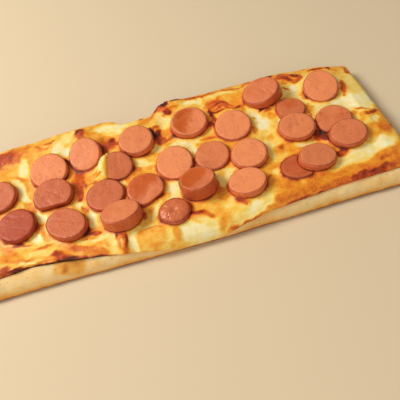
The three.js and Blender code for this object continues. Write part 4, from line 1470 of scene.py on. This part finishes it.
# %% Cheese finish
CHEESE_SHADER = {
    "Subsurface Weight": 0.12, "Subsurface Radius": (1.0, 0.6, 0.25), "Subsurface Scale": 1.2 * MM,
    "Specular IOR Level": 0.35, "Coat Weight": 0.05, "Coat Roughness": 0.2,
}
CHEESE_RAMP = [
    (0.00, paint(255, 243, 196)), (0.14, paint(255, 227, 136)), (0.28, paint(254, 206, 86)),
    (0.42, paint(247, 166, 38)), (0.54, paint(226, 122, 22)), (0.66, paint(190, 80, 20)),
    (0.78, paint(136, 50, 16)), (0.90, paint(78, 30, 12)), (1.00, paint(38, 16, 8)),
]
RED_FAT = paint(255, 168, 96)


def make_cheese_finish():
    """Cream to burnt by the browning kept with the cheese, which also holds painted shade and highlights;
    the browner, the drier and rougher.
    """
    material, tree, shader, place = new_finish("melted_cheese", CHEESE_SHADER)
    baked = kept(tree, "baked", (-1150, 200))
    coarse = use_group(tree, MOTTLE, (-900, 200), place, Value=baked, Scale=260.0, Amount=0.34)
    fine = use_group(tree, MOTTLE, (-650, 200), place, Value=coarse, Scale=900.0, Amount=0.16)
    specks = use_group(tree, PORES, (-900, 550), place, Scale=820.0, Size=0.4, Share=0.4)
    toasted = remap(tree, fine, (-650, 550), 0.42, 0.62, 0, 0.2)
    speckled = add_math(tree, "MULTIPLY", (-500, 500), specks, toasted)
    level = add_math(tree, "ADD", (-400, 350), fine, speckled)
    browned = ramp(tree, (-350, 250), level, CHEESE_RAMP)
    red = remap(tree, kept(tree, "reddened", (-350, 450)), (-150, 450), 0, 1, 0, 0.5)
    put(tree, mix_colour(tree, (0, 250), red, browned, RED_FAT, "MULTIPLY"), shader["Base Color"])
    put(tree, remap(tree, level, (0, -50), 0.1, 0.9, 0.34, 0.7), shader["Roughness"])
    soft = use_group(tree, GRAIN, (-350, -300), place, Coarse=320.0, Fine=1500.0, Share=0.35)
    oily = add_bump(tree, (200, -300), soft, 0.5 * MM, 0.5)
    dry = use_group(tree, GRAIN, (-350, -550), place, Coarse=1100.0, Fine=3200.0, Share=0.5)
    baked_hard = remap(tree, level, (-150, -700), 0.35, 0.8, 0.1, 1.0)
    crisp = add_math(tree, "MULTIPLY", (0, -550), dry, baked_hard)
    put(tree, add_bump(tree, (450, -400), crisp, 0.35 * MM, 0.6, Normal=oily), shader["Normal"])
    return material


cheese.data.materials.append(make_cheese_finish())
print("cheese finish:", len(cheese.data.materials[0].node_tree.nodes), "nodes")

# %% [markdown]
# ### The finish of the crust
# The crust is dry and floury, pale above and browner at the foot, with small open bubbles. Its
# patches are drawn out along the flank, as rolled dough is, so the noise is stretched along X.

# %% Crust finish
CRUST_SHADER = {"Specular IOR Level": 0.2}
CRUST_RAMP = [
    (0.00, paint(246, 220, 164)), (0.25, paint(246, 200, 124)), (0.45, paint(238, 170, 74)),
    (0.65, paint(206, 124, 44)), (0.85, paint(140, 76, 26)), (1.00, paint(74, 36, 14)),
]
# Painted shade inside the small open bubbles.
HOLE_SHADE = paint(205, 150, 90)
ALONG_THE_FLANK = (0.35, 1.0, 1.0)


def make_crust_finish():
    """Floury dough with streaks that run along the flank, and small open bubbles darkened with painted
    shade.
    """
    material, tree, shader, place = new_finish("baked_crust", CRUST_SHADER)
    inputs = {"Vector": place, "Scale": ALONG_THE_FLANK}
    stretched = add_node(tree, "ShaderNodeMapping", (-1100, -100), inputs).outputs["Vector"]
    baked = kept(tree, "baked", (-1100, 300))
    streaks = use_group(tree, MOTTLE, (-850, 200), stretched, Value=baked, Scale=220.0, Amount=0.3)
    fine = use_group(tree, MOTTLE, (-600, 200), place, Value=streaks, Scale=1100.0, Amount=0.14)
    colour = ramp(tree, (-300, 250), fine, CRUST_RAMP)
    holes = use_group(tree, PORES, (-600, -100), place, Scale=420.0, Size=0.22, Share=0.35)
    # The bubbles are darkened with painted shade.
    put(tree, mix_colour(tree, (100, 250), holes, colour, HOLE_SHADE, "MULTIPLY"), shader["Base Color"])
    put(tree, remap(tree, fine, (0, 0), 0.1, 0.9, 0.92, 0.72), shader["Roughness"])
    grain = use_group(tree, GRAIN, (-300, -300), place, Coarse=500.0, Fine=2600.0, Share=0.45)
    floury = add_bump(tree, (200, -300), grain, 0.5 * MM, 0.6)
    depth = add_math(tree, "MULTIPLY", (0, -500), holes, -1.0)
    put(tree, add_bump(tree, (450, -400), depth, 0.4 * MM, 0.6, Normal=floury), shader["Normal"])
    return material


crust.data.materials.append(make_crust_finish())
print("crust finish:", len(crust.data.materials[0].node_tree.nodes), "nodes")

# %% [markdown]
# ### The finish of the sausage
# A cut face is pinkish and finely mottled, with pits where fat and spice have fallen out, darkened
# with painted shade. Its rim is darker, and a dark line runs round the foot: partly cheese baked onto
# it, partly painted contact shade. Each slice could have a material of its own, but one that reads the
# kept numbers makes all of them differ.

# %% Colours of the sausage
SAUSAGE_SHADER = {
    "Subsurface Weight": 0.08, "Subsurface Radius": (1.0, 0.35, 0.2), "Subsurface Scale": 1.0 * MM,
    "Specular IOR Level": 0.35, "Coat Weight": 0.05, "Coat Roughness": 0.25,
}
FACE_PALE = paint(246, 148, 92)
FACE_DARK = paint(186, 74, 36)
TOASTED = paint(206, 92, 24)
# Painted shade in the pits.
PIT_SHADE = paint(128, 44, 24)
FLANK_SHADE = paint(226, 186, 168)
FLANK_AMOUNT = 0.8
RIM_SHADE = paint(168, 98, 68)
RIM_AMOUNT = 0.75
# The dark foot line: partly cheese baked onto the slice, partly painted contact shade.
SLICE_FOOT_BROWN_AND_SHADE = paint(110, 38, 12)
SLICE_FOOT_BROWN_AND_SHADE_AMOUNT = 0.92
print("pale, dark and toasted faces, darker at the rim, the flank and the foot")


# %% Sausage, from the middle of a face outwards
def pitted_mask(tree, place):
    """Small pits of two sizes, crowded in some places and few in others."""
    small = use_group(tree, PORES, (-900, 0), place, Scale=800.0, Size=0.4, Share=0.5)
    large = use_group(tree, PORES, (-900, -200), place, Scale=380.0, Size=0.26, Share=0.3)
    crowd = use_group(tree, MOTTLE, (-900, -400), place, Value=0.5, Scale=210.0, Amount=1.0)
    some = remap(tree, crowd, (-700, -400), 0.42, 0.66, 0.12, 1.0)
    both = add_math(tree, "MAXIMUM", (-650, -50), small, large)
    return add_math(tree, "MULTIPLY", (-450, -50), both, some)


def face_colour(tree, place, pits):
    """The cut face: its tone with the grain of the mince, the toasted side and the pits, darkened with
    painted shade.
    """
    tone = kept(tree, "tone", (-1150, 300))
    toned = use_group(tree, MOTTLE, (-900, 300), place, Value=tone, Scale=150.0, Amount=0.5)
    minced = use_group(tree, MOTTLE, (-750, 300), place, Value=toned, Scale=1500.0, Amount=0.42)
    plain = mix_colour(tree, (-600, 300), minced, FACE_PALE, FACE_DARK)
    inward = remap(tree, kept(tree, "inward", (-1150, 600)), (-900, 600), 0.0, 0.3, 0, 1)
    browned = add_math(tree, "MULTIPLY", (-650, 600), inward, kept(tree, "toast", (-900, 800)))
    spotted = use_group(tree, MOTTLE, (-450, 600), place, Value=browned, Scale=130.0, Amount=1.3)
    toast = remap(tree, spotted, (-250, 600), 0.15, 0.75, 0, 1)
    toasted = mix_colour(tree, (-100, 400), toast, plain, TOASTED)
    # The pits are darkened with painted shade.
    pitted = add_math(tree, "MULTIPLY", (-100, 100), pits, 0.75)
    return mix_colour(tree, (100, 300), pitted, toasted, PIT_SHADE)


def edge_colours(tree, place, face):
    """Round the face: a dark rim, a duller flank and a dark line where the cheese begins, partly browning
    and partly painted contact shade.
    """
    facing = use_group(tree, MOTTLE, (-600, -200), place, Value=kept(tree, "facing", (-900, -600)),
                       Scale=420.0, Amount=0.2)
    flank = remap(tree, facing, (-350, -150), 0.9, 0.35, 0, FLANK_AMOUNT)
    skin = mix_colour(tree, (250, 250), flank, face, FLANK_SHADE, "MULTIPLY")
    rising = remap(tree, facing, (-350, -300), 0.95, 0.8, 0, 1)
    falling = remap(tree, facing, (-350, -450), 0.8, 0.45, 1, 0)
    band = add_math(tree, "MULTIPLY", (-150, -350), rising, falling)
    rim = add_math(tree, "MULTIPLY", (0, -250), band, RIM_AMOUNT)
    rimmed = mix_colour(tree, (400, 250), rim, skin, RIM_SHADE, "MULTIPLY")
    # Painted contact shade, with some browning, at the foot.
    foot = use_group(tree, MOTTLE, (200, 500), place, Value=kept(tree, "foot", (0, 600)),
                     Scale=500.0, Amount=0.5)
    dark = remap(tree, foot, (400, 500), 0.3, 0.95, 0, SLICE_FOOT_BROWN_AND_SHADE_AMOUNT)
    return mix_colour(tree, (600, 250), dark, rimmed, SLICE_FOOT_BROWN_AND_SHADE)


# %% Sausage finish
def make_sausage_finish():
    """One finish for all pieces; the numbers kept with each mesh make them differ."""
    material, tree, shader, place = new_finish("frankfurter", SAUSAGE_SHADER)
    pits = pitted_mask(tree, place)
    face = face_colour(tree, place, pits)
    put(tree, edge_colours(tree, place, face), shader["Base Color"])
    uneven = use_group(tree, MOTTLE, (-350, -700), place, Value=0.5, Scale=500.0, Amount=0.4)
    wet = remap(tree, kept(tree, "wet", (-350, -900)), (-150, -900), 0, 1, 1.0, 0.5)
    put(tree, add_math(tree, "MULTIPLY", (0, -800), uneven, wet), shader["Roughness"])
    mince = use_group(tree, GRAIN, (-100, -500), place, Coarse=620.0, Fine=2000.0, Share=0.4)
    cut = add_bump(tree, (350, -400), mince, 0.4 * MM, 0.7)
    depth = add_math(tree, "MULTIPLY", (150, -700), pits, -1.0)
    put(tree, add_bump(tree, (600, -500), depth, 0.4 * MM, 0.8, Normal=cut), shader["Normal"])
    return material


sausage_finish = make_sausage_finish()
for piece in slices.values():
    piece.data.materials.append(sausage_finish)
print("sausage finish:", len(sausage_finish.node_tree.nodes), "nodes")
